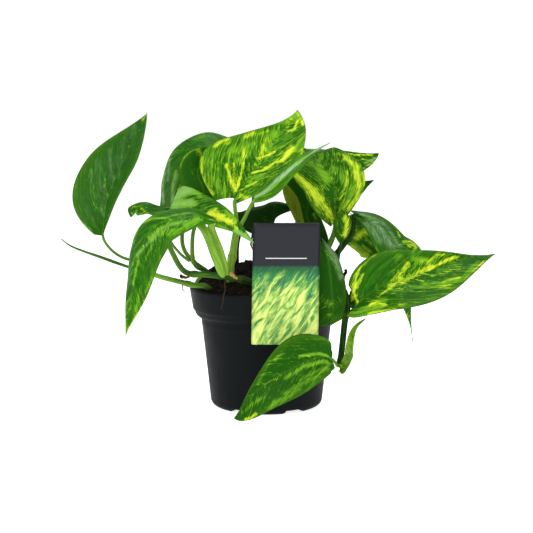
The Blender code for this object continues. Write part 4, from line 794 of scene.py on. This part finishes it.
def stemSkin():
    # smooth green stem with long fine streaks, brown at the joints and browner with age
    f, c = stemFinish, stemColours
    material, w, shader = newMaterial("stemSkin", f["roughness"], f["shineDark"])
    place = w.field("stemPlace", vector=True)
    tone = w.field("stemTone")
    streak = w.stretched(place, (0.7, 8.0, 8.0), detail=4.0, rough=0.65)
    spots = w.stretched(place, (7.0, 9.0, 9.0), rough=0.6)
    # stemTone runs from dark to light: the dark end is partly the stems' own dark green and partly painted shade
    # on stems and stalks that lie behind and under the leaves
    shade = w.plus(tone, w.math("MULTIPLY_ADD", streak, 1.8, -0.9))
    base = w.blend(w.between(shade, *f["greenAt"]), c["dark"], c["green"])
    base = w.blend(w.between(shade, *f["lightAt"]), base, c["light"])
    base = w.blend(w.between(shade, *f["paleAt"]), base, c["pale"])
    base = w.blend(w.times(w.between(spots, *f["freckleAt"]), f["freckle"]), base, c["freckle"])
    brown = w.plus(w.field("jointNear"), w.math("MULTIPLY_ADD", spots, 0.9, -0.45))
    strength = w.between(tone, 0.05, 0.6, f["jointLight"], f["jointDark"])
    base = w.blend(w.times(w.between(brown, *f["jointAt"]), strength), base, c["joint"])
    isRoot = w.field("rootPart")
    base = w.blend(isRoot, base, w.blend(spots, c["root"], c["rootTip"]))
    # a root's jointNear is above 0 on a pale bud and below 0 on a dark green stub
    bud = w.times(isRoot, w.field("jointNear"))
    base = w.blend(w.math("MAXIMUM", bud, 0.0), base, c["bud"])
    base = w.blend(w.math("MAXIMUM", w.times(bud, -1.0), 0.0), base, c["dark"])
    w.link(base, shader.inputs["Base Color"])
    w.link(w.bump(w.plus(streak, spots), *f["bump"]), shader.inputs["Normal"])
    w.link(w.between(tone, 0.0, 0.5, f["shineLight"], f["shineDark"]), shader.inputs["Specular IOR Level"])
    shader.inputs["Specular Tint"].default_value = leafColours["shine"]
    return material


skin = leafSkin()
stem = stemSkin()
for number, (title, ownValues) in enumerate(leafShapes.items()):
    leaf = {**usualLeaf, **ownValues}
    makePiece(title + "Leaf", [bladePart(leaf, number), stalkPart(leaf)], [skin, stem],
              leaf["node"])
print("leaves made:", len(leafShapes))


# The vines: cut pieces that creep over the soil, swollen at the joints, with short aerial roots. A root
# is its points, its radius, and 0 for a plain one, 1 for a pale bud or -1 for a dark green stub.
vineBuild = dict(sides=20, every=0.8, swelling=0.24, jointLength=3.0, ringHeight=0.07, ringAt=1.6,
                 ringWidth=0.7, dipAt=3.2, dipWidth=0.8, scarWidth=1.6, endRounding=1.2, endRadius=0.75,
                 rootEvery=0.8, rootExtra=6, rootSides=8, rootWander=0.35, rootTaper=(1.35, 0.75),
                 rootRings=0.12)

vineShapes = {
    "vineFront": dict(
        node="vine_front", points=[(6, -30, 80), (1, -36, 93), (-12, -43, 102), (-30, -46, 105.8),
        (-44, -45, 107.5), (-58, -40, 107.8), (-65, -33, 112), (-71, -25, 121), (-75, -19, 128)],
        radius=(2.5, 2), joints=(0.34, 0.66), tone=(-0.15, 0.5),
        roots=[([(-30, -46, 104), (-30.5, -52, 102), (-30.5, -58, 98.5), (-31, -61.6, 94), (-33, -61.4, 84)],
        0.4675, 0),
               ([(-64.1, -43, 106.3), (-60.9, -45, 105.4), (-57.3, -44, 105.7)], 1.1, 0.06),
               ([(-26.6, -49, 108.9), (-24.4, -51, 107.3), (-21.4, -51, 105)], 1.25, 1)]),
    "vineLeft": dict(
        node="vine_left", points=[(-38, -16, 76), (-41, -22, 90), (-46, -31, 97), (-54, -38, 98.6),
        (-65, -39, 101.5), (-82, -38, 106), (-92, -36, 110)],
        radius=(2.2, 1.8), joints=(0.55, 0.97), tone=(0.25, 0.6),
        roots=[([(-62, -39, 101), (-63, -40, 97), (-61, -41, 93.5)], 0.425, 0)]),
    "vineCentre": dict(
        node="vine_centre", points=[(-22, -20, 78), (-26, -25, 95), (-27.4, -28, 108), (-25.2, -29, 124),
        (-22.9, -30, 137), (-21.5, -30, 144)],
        radius=(3.5, 2.5), joints=(0.62, 0.97), tone=(0.95, 0.72), roots=[]),
    "vineBackLeft": dict(
        node="vine_back_left", points=[(-36, 8, 80), (-41, 6, 93), (-47, 3, 104), (-54, 0, 109),
        (-59, 0, 115)],
        radius=(2.3, 2), joints=(0.8,), tone=(0.2, 0.25), roots=[]),
    "vineBack": dict(
        node="vine_back", points=[(-14, 20, 82), (-22, 17, 100), (-23.8, 14, 118), (-22, 14, 134)],
        radius=(2.2, 1.8), joints=(0.95,), tone=(0, 0), roots=[]),
    "vineRight": dict(
        node="vine_right", points=[(34, -12, 78), (41, -12, 95), (47, -14, 108), (51, -16, 118)],
        radius=(2.4, 2.1), joints=(0.93,), tone=(0, 0.05), roots=[]),
    "vineTrailing": dict(
        node="vine_trailing", points=[(32, -18, 76), (38, -23, 89), (46, -29, 97.5), (54, -36, 98.5),
        (58.6, -43, 93), (59.8, -48, 84), (57.8, -53, 73), (56, -57, 57), (54, -60, 41)],
        radius=(2.6, 2.25), joints=(0.62, 0.97), tone=(0.02, 0.02),
        roots=[([(55.6, -36, 97.1), (57, -37, 104), (59.5, -37, 108.6), (58.9, -37, 110.6)], 1.6, -1)]),
}


def vineParts(vine, number):
    # a tube whose radius swells at each joint, with a fine raised ring where a leaf scar goes round
    build = vineBuild
    length = pathLength(vine["points"])
    path = smoothPath(vine["points"], int(length / build["every"]))
    place = np.linspace(0.0, 1.0, len(path))
    radius = np.interp(place, (0.0, 1.0), vine["radius"])
    near = np.zeros(len(path))
    for joint in vine["joints"]:
        off = (place - joint) * length
        ring = np.exp(-((off - build["ringAt"]) / build["ringWidth"])**2)
        dip = np.exp(-((off - build["dipAt"]) / build["dipWidth"])**2)
        radius = radius * (1 + build["swelling"] * np.exp(-(off / build["jointLength"])**2)
                           + build["ringHeight"] * ring - 0.5 * build["ringHeight"] * dip)
        near = near + np.exp(-((off - build["ringAt"]) / build["scarWidth"])**2)
    end = np.clip(np.minimum(place, 1 - place) * length / build["endRounding"], 0.0, 1.0)
    radius = radius * (build["endRadius"] + (1 - build["endRadius"]) * np.sqrt(end))
    tone = np.interp(place, (0.0, 1.0), vine["tone"])

    def uneven(along, angle):
        return 1 + 0.025 * np.sin(3 * angle + 9 * along) + 0.02 * np.sin(5 * angle - 14 * along + number)

    fields = {"jointNear": near, "stemTone": tone, "rootPart": place * 0}
    parts = [sweep(path, radius, build["sides"], fields, ridges=uneven)]
    thick, thinner = build["rootTaper"]
    for points, size, bud in vine["roots"]:
        rootPath = smoothPath(points, int(pathLength(points) / build["rootEvery"]) + build["rootExtra"])
        along = np.linspace(0.0, 1.0, len(rootPath))
        wander = np.stack([np.sin(along * 17 + number), np.sin(along * 13), np.cos(along * 15)], axis=-1)
        rootPath = rootPath + build["rootWander"] * wander * np.sin(math.pi * along)[:, None]
        fields = {"jointNear": along * 0 + bud, "stemTone": along * 0, "rootPart": along * 0 + 1}
        parts.append(sweep(rootPath, size * (thick - thinner * along), build["rootSides"], fields,
                           ridges=lambda s, a: 1 + build["rootRings"] * np.sin(41 * s + 2 * a)))
    return parts


for number, (title, vine) in enumerate(vineShapes.items()):
    makePiece(title, vineParts(vine, number), [stem], vine["node"])
print("vines made:", len(vineShapes))


# The new leaf, still rolled up: a thin spear with a seam that winds round it
spearShape = dict(points=[(-91, -37, 109), (-104, -36.5, 112.5), (-126, -34, 120), (-140, -32.5, 124.7),
                          (-148, -31, 128), (-155, -30, 133)],
                  radius=(1.0, 1.1, 1.25, 1.05, 0.75, 0.3), sides=16, every=0.8, tone=0.2,
                  seam=0.16, seamWidth=0.35, seamTurn=5)


def spearPart():
    # a tube with the radii spread evenly along it, dented by exp(-(angle off the seam / width)^2)
    s = spearShape
    path = smoothPath(s["points"], int(pathLength(s["points"]) / s["every"]))
    place = np.linspace(0.0, 1.0, len(path))
    radius = np.interp(place, np.linspace(0, 1, len(s["radius"])), s["radius"])

    def seam(along, angle):
        off = np.angle(np.exp(1j * (angle - s["seamTurn"] * along)))
        return 1 - s["seam"] * np.exp(-(off / s["seamWidth"])**2)

    fields = {"jointNear": place * 0, "stemTone": place * 0 + s["tone"], "rootPart": place * 0}
    return sweep(path, radius, s["sides"], fields, ridges=seam)


makePiece("rolledLeaf", [spearPart()], [stem], "leaf_spear")
print("rolled leaf made")


# The pot: one turned profile from the inside of the floor over the lip to the middle of the underside
potShape = dict(height=93.0, rimRadius=60.0, bandFootRadius=57.4, bandHeight=17.0, stepHeight=6.0,
                bodyTopRadius=51.2, baseRadius=43.9, baseRounding=5.0, wall=1.8, floor=2.4, floorInset=1.0,
                lipRounding=0.8, bandRounding=0.8, stepInset=1.2, ridgeBelowStep=4.5, ridgeHeight=0.25,
                ridgeWidth=1.6, underRadii=(36.5, 35.0, 33.5, 32.2, 32.0, 30.0, 20.0, 0.01), steps=240,
                lipSteps=9, bandSteps=12, bodySteps=48, notches=6, notchHalfWidth=8.0, notchHeight=3.744,
                notchDepth=10.5, notchEdges=(1.12, 0.2), firstNotch=math.radians(-59.0), innerRows=20)


def potProfile():
    # (radius, height) pairs, close together where the wall turns and along the plain stretches
    p = potShape
    wall, bandFoot, lipFoot = p["wall"], p["height"] - p["bandHeight"], p["height"] - p["lipRounding"]
    bodyTop = bandFoot - p["stepHeight"]
    inside = [(0.01, p["floor"]), (20.0, p["floor"]), (p["baseRadius"] - wall - p["floorInset"], p["floor"]),
              (p["bodyTopRadius"] - wall, bodyTop), (p["bandFootRadius"] - wall, bandFoot),
              (p["rimRadius"] - wall, lipFoot)]
    middle = p["rimRadius"] - wall / 2
    lip = [(middle + wall / 2 * math.cos(a), lipFoot + p["lipRounding"] * math.sin(a))
           for a in np.linspace(math.pi, 0.0, p["lipSteps"])]
    slope = (p["rimRadius"] - p["bandFootRadius"]) / p["bandHeight"]
    rounding = p["bandRounding"]
    band = [(p["rimRadius"] - slope * k * (p["bandHeight"] - rounding),
             lipFoot - k * (p["bandHeight"] - 2 * rounding))
            for k in np.linspace(0.0, 1.0, p["bandSteps"])[1:]]
    turn = np.linspace(0.0, math.pi / 2, p["lipSteps"])[1:]
    edge = [(p["bandFootRadius"] - rounding * (1 - math.cos(a)), bandFoot + rounding - rounding * math.sin(a))
            for a in turn]
    step = [(p["bodyTopRadius"] + (p["bandFootRadius"] - p["stepInset"] - p["bodyTopRadius"]) * math.cos(a),
             bandFoot - p["stepHeight"] * math.sin(a)) for a in turn]
    k = np.linspace(0.0, 1.0, p["bodySteps"])[1:]
    bodyHeight = bodyTop + (p["baseRounding"] - bodyTop) * k
    ridge = p["ridgeHeight"] * np.exp(-((bodyHeight - bodyTop + p["ridgeBelowStep"]) / p["ridgeWidth"])**4)
    body = list(zip(p["bodyTopRadius"] + (p["baseRadius"] - p["bodyTopRadius"]) * k + ridge, bodyHeight))
    foot = [(p["baseRadius"] - p["baseRounding"] * (1 - math.cos(a)), p["baseRounding"] * (1 - math.sin(a)))
            for a in turn]
    under = [(radius, 0.0) for radius in p["underRadii"]]
    return np.array(inside + lip + band + edge + step + body + foot + under)


def potPart():
    # the profile turned round the upright axis; the foot is lifted where it lies in a drain notch
    p = potShape
    profile = potProfile()
    radius, height = profile[:, :1], profile[:, 1:]
    angle = np.linspace(0.0, 2 * math.pi, p["steps"], endpoint=False)[None, :]
    turn = 2 * math.pi / p["notches"]
    off = (angle - p["firstNotch"] + turn / 2) % turn - turn / 2
    across = np.abs(off) * radius / p["notchHalfWidth"]
    widest, slope = p["notchEdges"]
    inNotch = np.clip((widest - across) / slope, 0.0, 1.0) * (radius > p["baseRadius"] - p["notchDepth"])
    isOutside = (np.arange(len(profile)) > p["innerRows"])[:, None]
    z = np.where(isOutside, np.maximum(height, inNotch * p["notchHeight"]), height)
    return ringPart(stacked(radius * np.cos(angle), radius * np.sin(angle), z), {})


potColours = dict(dark=(0.003, 0.0042, 0.005, 1), light=(0.0055, 0.007, 0.008, 1),
                  scuff=(0.012, 0.0135, 0.015, 1))
potFinish = dict(roughness=0.5, specular=0.05, grainScale=2600.0, cloudScale=60.0,
                 scuffScale=(240.0, 240.0, 40.0), scuffAt=(0.6, 0.78), scuff=0.3, smoothest=0.42, roughest=0.62, bump=(0.25, 0.00025))


def potPlastic():
    # matt black moulded plastic: fine grain, and faint scuffs that run up the wall
    f, c = potFinish, potColours
    material, w, shader = newMaterial("potPlastic", f["roughness"], f["specular"])
    place = w.objectPlace()
    grain = w.noise(place, f["grainScale"], 2.0)
    cloud = w.noise(place, f["cloudScale"], 4.0)
    scuff = w.stretched(place, f["scuffScale"], detail=4.0, rough=0.7)
    base = w.blend(cloud, c["dark"], c["light"])
    base = w.blend(w.times(w.between(scuff, *f["scuffAt"]), f["scuff"]), base, c["scuff"])
    w.link(base, shader.inputs["Base Color"])
    worn = w.plus(w.times(cloud, 0.6), w.times(scuff, 0.4))
    w.link(w.between(worn, 0.25, 0.75, f["roughest"], f["smoothest"]), shader.inputs["Roughness"])
    w.link(w.bump(grain, *f["bump"]), shader.inputs["Normal"])
    return material


makePiece("nurseryPot", [potPart()], [potPlastic()], "pot")
print("pot made")


# The soil: a lumpy mound with loose crumbs of bark and peat on it
soilShape = dict(edgeHeight=88.0, crown=18.0, crownBack=11.0, crownPower=0.65, moundRadius=58.2, lump=1.5,
                 topRadius=57.1, rings=64, steps=180,
                 heaps=((-14.0, 6.0, 11.0, 7.0), (-41.0, 9.0, 10.0, 8.5)),
                 inWall=((55.3, 76.0), (49.1, 70.0), (39.5, 2.7), (0.01, 2.7)), coarse=0.9, fine=0.6,
                 crumbs=620, crumbSize=(0.7, 2.3), crumbReach=55.0, crumbLift=0.8, smallShare=0.75,
                 smallSize=0.62, crumbFlat=0.45, crumbBumps=0.3, fibres=46, fibreReach=50.0,
                 fibreLength=(4.0, 11.0), fibreBend=2, fibreRise=(0.2, 1.6), fibreRadius=(0.12, 0.3), fibrePoints=10, fibreSides=6, seed=11)


def soilHeight(x, y):
    # a mound behind the middle of the pot, with lumps, that falls to the edge height at the wall
    s = soilShape
    reach = np.hypot(x, y) / s["moundRadius"]
    dome = np.clip(1 - (x**2 + (y - s["crownBack"] * (1 - reach))**2) / s["moundRadius"]**2, 0, 1)
    lumps = np.sin(x * 0.31 + 1.0) * np.cos(y * 0.27) + 0.7 * np.sin(x * 0.53 - y * 0.47 + 2.0)
    heap = sum(high * np.exp(-((x - atX)**2 + (y - atY)**2) / size**2)
               for atX, atY, size, high in s["heaps"])
    return (s["edgeHeight"] + s["crown"] * dome**s["crownPower"] + heap
            + s["lump"] * lumps * np.clip(1 - reach**6, 0, 1))


def soilPart():
    # a polar grid of the mound with finer crumbly relief, then down the pot's inside and across
    s = soilShape
    reach = np.concatenate([[0.0002], np.linspace(0.0, 1.0, s["rings"])[1:]])[:, None]
    angle = np.linspace(0.0, 2 * math.pi, s["steps"], endpoint=False)[None, :]
    x, y = reach * s["topRadius"] * np.cos(angle), reach * s["topRadius"] * np.sin(angle)
    z = soilHeight(x, y)
    relief = s["coarse"] * waves(x, y, 5, 7.0, 4) + s["fine"] * np.abs(waves(x, y, 8, 3.0, 3))
    z = z + relief * np.clip((1 - reach) * 12, 0, 1)
    rows = [stacked(x, y, z)]
    for radius, height in s["inWall"]:
        rows.append(stacked(radius * np.cos(angle), radius * np.sin(angle), height))
    return ringPart(np.concatenate(rows, axis=0), {})


def crumbPart():
    # crumbs: one small uneven ball, copied with random sizes, turns and bumps over the mound, all of
    # them as one array; each turn is a random quaternion written as a matrix
    s = soilShape
    draw = np.random.default_rng(s["seed"])
    count = s["crumbs"]
    lat = np.linspace(0.02, math.pi - 0.02, 6)[:, None]
    lon = np.linspace(0.0, 2 * math.pi, 8, endpoint=False)[None, :]
    ball = stacked(np.sin(lat) * np.cos(lon), np.sin(lat) * np.sin(lon), np.cos(lat))
    part = ringPart(ball, {})
    reach = np.sqrt(draw.uniform(0.0, 1.0, count)) * s["crumbReach"]
    turn = draw.uniform(0.0, 2 * math.pi, count)
    x, y = reach * np.cos(turn), reach * np.sin(turn)
    centre = np.stack([x, y, soilHeight(x, y) + s["crumbLift"]], axis=-1)
    size = draw.uniform(*s["crumbSize"], count)
    size = size * np.where(draw.uniform(size=count) < s["smallShare"], s["smallSize"], 1.0)
    shape = size[:, None] * draw.uniform(s["crumbFlat"], 1.0, (count, 3))
    a, b, c, d = unit(draw.normal(size=(count, 4))).T
    spin = np.stack([1 - 2 * (c * c + d * d), 2 * (b * c - a * d), 2 * (b * d + a * c),
                     2 * (b * c + a * d), 1 - 2 * (b * b + d * d), 2 * (c * d - a * b),
                     2 * (b * d - a * c), 2 * (c * d + a * b), 1 - 2 * (b * b + c * c)], axis=-1)
    spin = spin.reshape(count, 3, 3)
    bumps = 1 + s["crumbBumps"] * draw.normal(size=(count, len(part["points"]), 1)).clip(-1, 1)
    points = part["points"][None] * bumps * shape[:, None, :]
    points = np.einsum("nij,nkj->nki", spin, points) + centre[:, None, :]
    step = (np.arange(count) * len(part["points"]))[:, None, None]
    tint = np.repeat(draw.uniform(0.0, 1.0, count), len(part["points"]))
    return dict(points=points.reshape(-1, 3), quads=(part["quads"][None] + step).reshape(-1, 4),
                tris=(part["tris"][None] + step).reshape(-1, 3), fields={"crumbTint": tint[:, None]},
                finish=0)


def fibreParts():
    # fibres: thin rods that lie on the mound, bent by a sine sideways and arched by a sine upwards
    s = soilShape
    draw = np.random.default_rng(s["seed"] + 1)
    parts = []
    for _ in range(s["fibres"]):
        reach = math.sqrt(draw.uniform()) * s["fibreReach"]
        turn, way = draw.uniform(0, roundAngle), draw.uniform(0, roundAngle)
        length = draw.uniform(*s["fibreLength"])
        t = np.linspace(0.0, 1.0, s["fibrePoints"])
        bend = s["fibreBend"]
        x = reach * math.cos(turn) + length * t * math.cos(way) + draw.uniform(-bend, bend) * np.sin(3 * t)
        y = reach * math.sin(turn) + length * t * math.sin(way) + draw.uniform(-bend, bend) * np.sin(3 * t)
        z = soilHeight(x, y) + 1.0 + draw.uniform(*s["fibreRise"]) * np.sin(math.pi * t)
        if np.hypot(x, y).max() < s["crumbReach"]:
            radius = draw.uniform(*s["fibreRadius"]) * (1 - 0.5 * t)
            tint = 0.6 + 0.4 * draw.uniform() + 0 * t
            parts.append(sweep(np.stack([x, y, z], axis=-1), radius, s["fibreSides"], {"crumbTint": tint}))
    return parts


soilColours = dict(dark=(0.004, 0.0028, 0.002, 1), brown=(0.013, 0.0075, 0.0045, 1),
                   light=(0.04, 0.025, 0.015, 1), bark=(0.06, 0.036, 0.022, 1))
soilFinish = dict(roughness=0.92, specular=0.12, coarseScale=330.0, fineScale=1500.0, brownAt=(0.35, 0.68),
                  lightAt=(0.55, 0.75), light=0.6, bark=0.55, bump=(0.9, 0.0012))


def soilMix():
    # damp peat: near black to red brown, broken up at several scales, crumbs tinted one by one
    f, c = soilFinish, soilColours
    material, w, shader = newMaterial("soilMix", f["roughness"], f["specular"])
    place = w.objectPlace()
    coarse = w.noise(place, f["coarseScale"], 5.0, 0.7)
    fine = w.noise(place, f["fineScale"], 4.0, 0.7)
    base = w.blend(w.between(coarse, *f["brownAt"]), c["dark"], c["brown"])
    base = w.blend(w.times(w.between(fine, *f["lightAt"]), f["light"]), base, c["light"])
    base = w.blend(w.times(w.field("crumbTint"), f["bark"]), base, c["bark"])
    w.link(base, shader.inputs["Base Color"])
    w.link(w.bump(w.plus(coarse, fine), *f["bump"]), shader.inputs["Normal"])
    return material


makePiece("pottingSoil", [soilPart(), crumbPart()] + fibreParts(), [soilMix()], "soil")
print("soil made")


# The label: one strip of card, up the front, over the fold, down the back and into a leg
labelShape = dict(width=49.0, top=147.0, bottom=58.0, thickness=0.6, centreX=14.6, tilt=0.014, frontY=-61.4,
                  lean=0.7, bow=0.35, bowFrom=20.0, fold=2.3, legY=-54.8, footY=-46.0, legWidth=14.0,
                  legShift=-9.0, legFoot=68.0, shoulderDrop=16.0, rimLevel=95.0, point=1.2, cornerRounding=0.5,
                  edgePower=24, every=1.2, columns=21)


def labelPart():
    # rows (y, z, half width, share of the leg's shift) along the strip, and across it the card's face
    # from the left to the right edge, then its back
    s = labelShape
    half, leg, legY = s["width"] / 2, s["legWidth"] / 2, s["legY"]
    rows = np.array([(s["frontY"] - s["lean"], s["bottom"], half, 0), (s["frontY"], s["rimLevel"], half, 0),
                     (s["frontY"] + 0.1 * s["fold"], s["top"] - s["fold"], half, 0),
                     (s["frontY"] + 0.5 * s["fold"], s["top"], half, 0),
                     (s["frontY"] + s["fold"], s["top"] - 0.5 * s["fold"], half, 0),
                     ((s["frontY"] + legY) / 2, s["top"] - s["shoulderDrop"], 0.9 * half, 0.5),
                     (legY, s["top"] - 2.4 * s["shoulderDrop"], leg, 1), (legY, s["rimLevel"], leg, 1),
                     ((legY + s["footY"]) / 2, (s["rimLevel"] + s["legFoot"]) / 2, 0.9 * leg, 1),
                     (s["footY"], s["legFoot"], s["point"], 1)])
    gone = np.concatenate([[0.0], np.cumsum(np.linalg.norm(np.diff(rows[:, :2], axis=0), axis=1))])
    wanted = np.unique(np.concatenate([np.arange(0.0, gone[-1], s["every"]), gone]))
    y, z, reach, aside = (np.interp(wanted, gone, rows[:, k])[:, None] for k in range(4))
    fromEnd = np.clip(wanted / s["cornerRounding"], 0, 1)[:, None]
    reach = reach - s["cornerRounding"] * (1 - np.sqrt(np.clip(1 - (1 - fromEnd)**2, 0, 1)))
    u = np.linspace(-1.0, 1.0, s["columns"])[None, :]
    centre = s["centreX"] + s["legShift"] * aside - s["tilt"] * (s["top"] - z) * (1 - aside)
    bowed = s["bow"] * (1 - u**2) * np.clip((s["top"] - z) / s["bowFrom"], 0, 1) * (aside < 0.4)
    way = unit(np.gradient(np.concatenate([y, z], axis=-1), axis=0))
    half2 = s["thickness"] / 2 * np.sqrt(np.clip(1 - np.abs(u)**s["edgePower"], 0.02, 1))
    base = stacked(centre + u * reach, y - bowed, z)
    lift = stacked(0 * u, way[:, 1:] * half2, -way[:, :1] * half2)
    rings = np.concatenate([base - lift, (base + lift)[:, -2:0:-1]], axis=1)
    # the print's own place on the card in centimetres, and 1 on its back
    place = stacked(u * half / centimetre, wanted[:, None] / centimetre, 0 * u)
    back = place.copy()
    back[..., 2] = 1.0
    return ringPart(rings, {"labelPlace": np.concatenate([place, back[:, -2:0:-1]], axis=1)})


labelColours = dict(green=(0.03, 0.22, 0.05, 1), teal=(0.012, 0.13, 0.06, 1), leafy=(0.12, 0.42, 0.06, 1),
                    lime=(0.35, 0.58, 0.08, 1), yellow=(0.72, 0.8, 0.22, 1), charcoal=(0.015, 0.016, 0.021, 1),
                    dusk=(0.006, 0.075, 0.03, 1), rule=(0.7, 0.7, 0.7, 1), back=(0.6, 0.6, 0.58, 1))
# places on the card are in centimetres from its lower edge and middle
labelFinish = dict(roughness=0.4, specular=0.2, headAt=5.75, headEdge=0.12, ruleAt=6.35, ruleHalfHeight=0.035,
                   ruleHalfWidth=1.5, rule=0.85, slant=0.6, tealAt=(0.35, 0.65), leafyAt=(0.45, 0.7), leafy=0.55,
                   dusk=0.8, yellowAtFoot=0.055, yellowAtHead=-0.09, limeAt=(0.42, 0.56), lime=0.6,
                   yellowAt=(0.5, 0.66), yellow=0.9, grainScale=900.0, bump=(0.06, 0.0003))


def labelPrint():
    # a plain print: a charcoal head with one pale rule, and below it a green field with soft slanting
    # strokes of yellow; the back is plain pale grey
    f, c = labelFinish, labelColours
    material, w, shader = newMaterial("labelPrint", f["roughness"], f["specular"])
    place = w.field("labelPlace", vector=True)
    split = w.node("ShaderNodeSeparateXYZ")
    w.link(place, split.inputs[0])
    x, y, back = split.outputs
    slant = w.mapped(place, Rotation=(0.0, 0.0, f["slant"]))
    cloud = w.stretched(slant, (0.9, 0.5, 1.0), rough=0.5, twist=0.5)
    blotch = w.stretched(slant, (2.6, 0.62, 1.0), (4.0, 1.0, 0.0), 5.0, 0.62, 0.7)
    hair = w.stretched(slant, (9.0, 1.2, 1.0), (1.0, 6.0, 0.0), 4.0, 0.65, 0.5)
    field = w.blend(w.between(cloud, *f["tealAt"]), c["green"], c["teal"])
    field = w.blend(w.times(w.between(hair, *f["leafyAt"]), f["leafy"]), field, c["leafy"])
    dusk = w.between(y, f["headAt"] - 1.0, f["headAt"] - 0.1)
    field = w.blend(w.times(dusk, f["dusk"]), field, c["dusk"])
    lower = w.between(y, f["headAt"] - 0.5, f["headAt"] - 1.8, f["yellowAtFoot"], f["yellowAtHead"],
                      smooth=False)
    soft = w.plus(w.plus(w.times(blotch, 0.75), w.times(hair, 0.25)), lower)
    field = w.blend(w.times(w.between(soft, *f["limeAt"]), f["lime"]), field, c["lime"])
    field = w.blend(w.times(w.between(soft, *f["yellowAt"]), f["yellow"]), field, c["yellow"])
    head = w.between(y, f["headAt"] - f["headEdge"], f["headAt"] + f["headEdge"])
    base = w.blend(head, field, c["charcoal"])
    rule = w.times(w.math("COMPARE", y, f["ruleAt"], f["ruleHalfHeight"]),
                   w.math("LESS_THAN", w.math("ABSOLUTE", x), f["ruleHalfWidth"]))
    base = w.blend(w.times(rule, f["rule"]), base, c["rule"])
    base = w.blend(w.math("GREATER_THAN", back, 0.5), base, c["back"])
    w.link(base, shader.inputs["Base Color"])
    w.link(w.bump(w.noise(w.objectPlace(), f["grainScale"], 2.0), *f["bump"]), shader.inputs["Normal"])
    return material


makePiece("plantLabel", [labelPart()], [labelPrint()], "plant_label")
print("label made")


# Floor, lights and camera
studio = dict(floorHalf=30.0, floorColour=(0.8, 0.8, 0.8, 1), floorGlow=0.8,
              skyAtHorizon=1.02, skyOverhead=0.35, skyTurn=(0.15, 0.55),
              cameraPlace=(0.0, -0.900, 0.2106), cameraDown=math.radians(6.47), lens=78.3,
              lights=[("keyLight", (-0.75, -0.85, 1.15), (0.0, 0.0, 0.12), 0.9, 12.0),
                      ("fillLight", (0.95, -0.8, 0.6), (0.0, 0.0, 0.12), 0.9, 4.5),
                      ("topLight", (0.1, 0.35, 1.3), (0.0, 0.0, 0.1), 1.0, 8.0)])


def buildStudio():
    # a white floor, a white sky, three round lights and the camera
    size = studio["floorHalf"]
    mesh = bpy.data.meshes.new("floor")
    corners = [(-size, -size, 0), (size, -size, 0), (size, size, 0), (-size, size, 0)]
    mesh.from_pydata(corners, [], [(0, 1, 2, 3)])
    floor = bpy.data.objects.new("floor", mesh)
    bpy.context.scene.collection.objects.link(floor)
    material, _, shader = newMaterial("floorWhite", 0.9, 0.1)
    shader.inputs["Base Color"].default_value = studio["floorColour"]
    shader.inputs["Emission Color"].default_value = (1, 1, 1, 1)
    shader.inputs["Emission Strength"].default_value = studio["floorGlow"]
    mesh.materials.append(material)
    # the sky is white round the horizon and dims overhead
    world = bpy.data.worlds.new("studioAir")
    world.use_nodes = True
    w = Wiring(world.node_tree)
    way = w.node("ShaderNodeSeparateXYZ")
    w.link(w.node("ShaderNodeTexCoord").outputs["Generated"], way.inputs[0])
    air = world.node_tree.nodes["Background"]
    air.inputs["Color"].default_value = (1, 1, 1, 1)
    w.link(w.between(way.outputs["Z"], *studio["skyTurn"], studio["skyOverhead"], studio["skyAtHorizon"]),
           air.inputs["Strength"])
    bpy.context.scene.world = world
    for title, place, target, width, power in studio["lights"]:
        light = bpy.data.lights.new(title, "AREA")
        light.shape = "DISK"
        light.size = width
        light.energy = power
        lamp = bpy.data.objects.new(title, light)
        lamp.location = place
        x, y, z = np.array(target) - np.array(place)
        lamp.rotation_euler = (math.atan2(math.hypot(x, y), -z), 0.0, math.atan2(y, x) - math.pi / 2)
        bpy.context.scene.collection.objects.link(lamp)
    lens = bpy.data.cameras.new("camera")
    lens.lens = studio["lens"]
    lens.sensor_width = 36.0
    lens.clip_start = 0.01
    camera = bpy.data.objects.new("camera", lens)
    camera.location = studio["cameraPlace"]
    camera.rotation_euler = (math.pi / 2 - studio["cameraDown"], 0.0, 0.0)
    bpy.context.scene.collection.objects.link(camera)
    bpy.context.scene.camera = camera
    bpy.context.scene.view_settings.view_transform = "Standard"


buildStudio()
print("studio made")
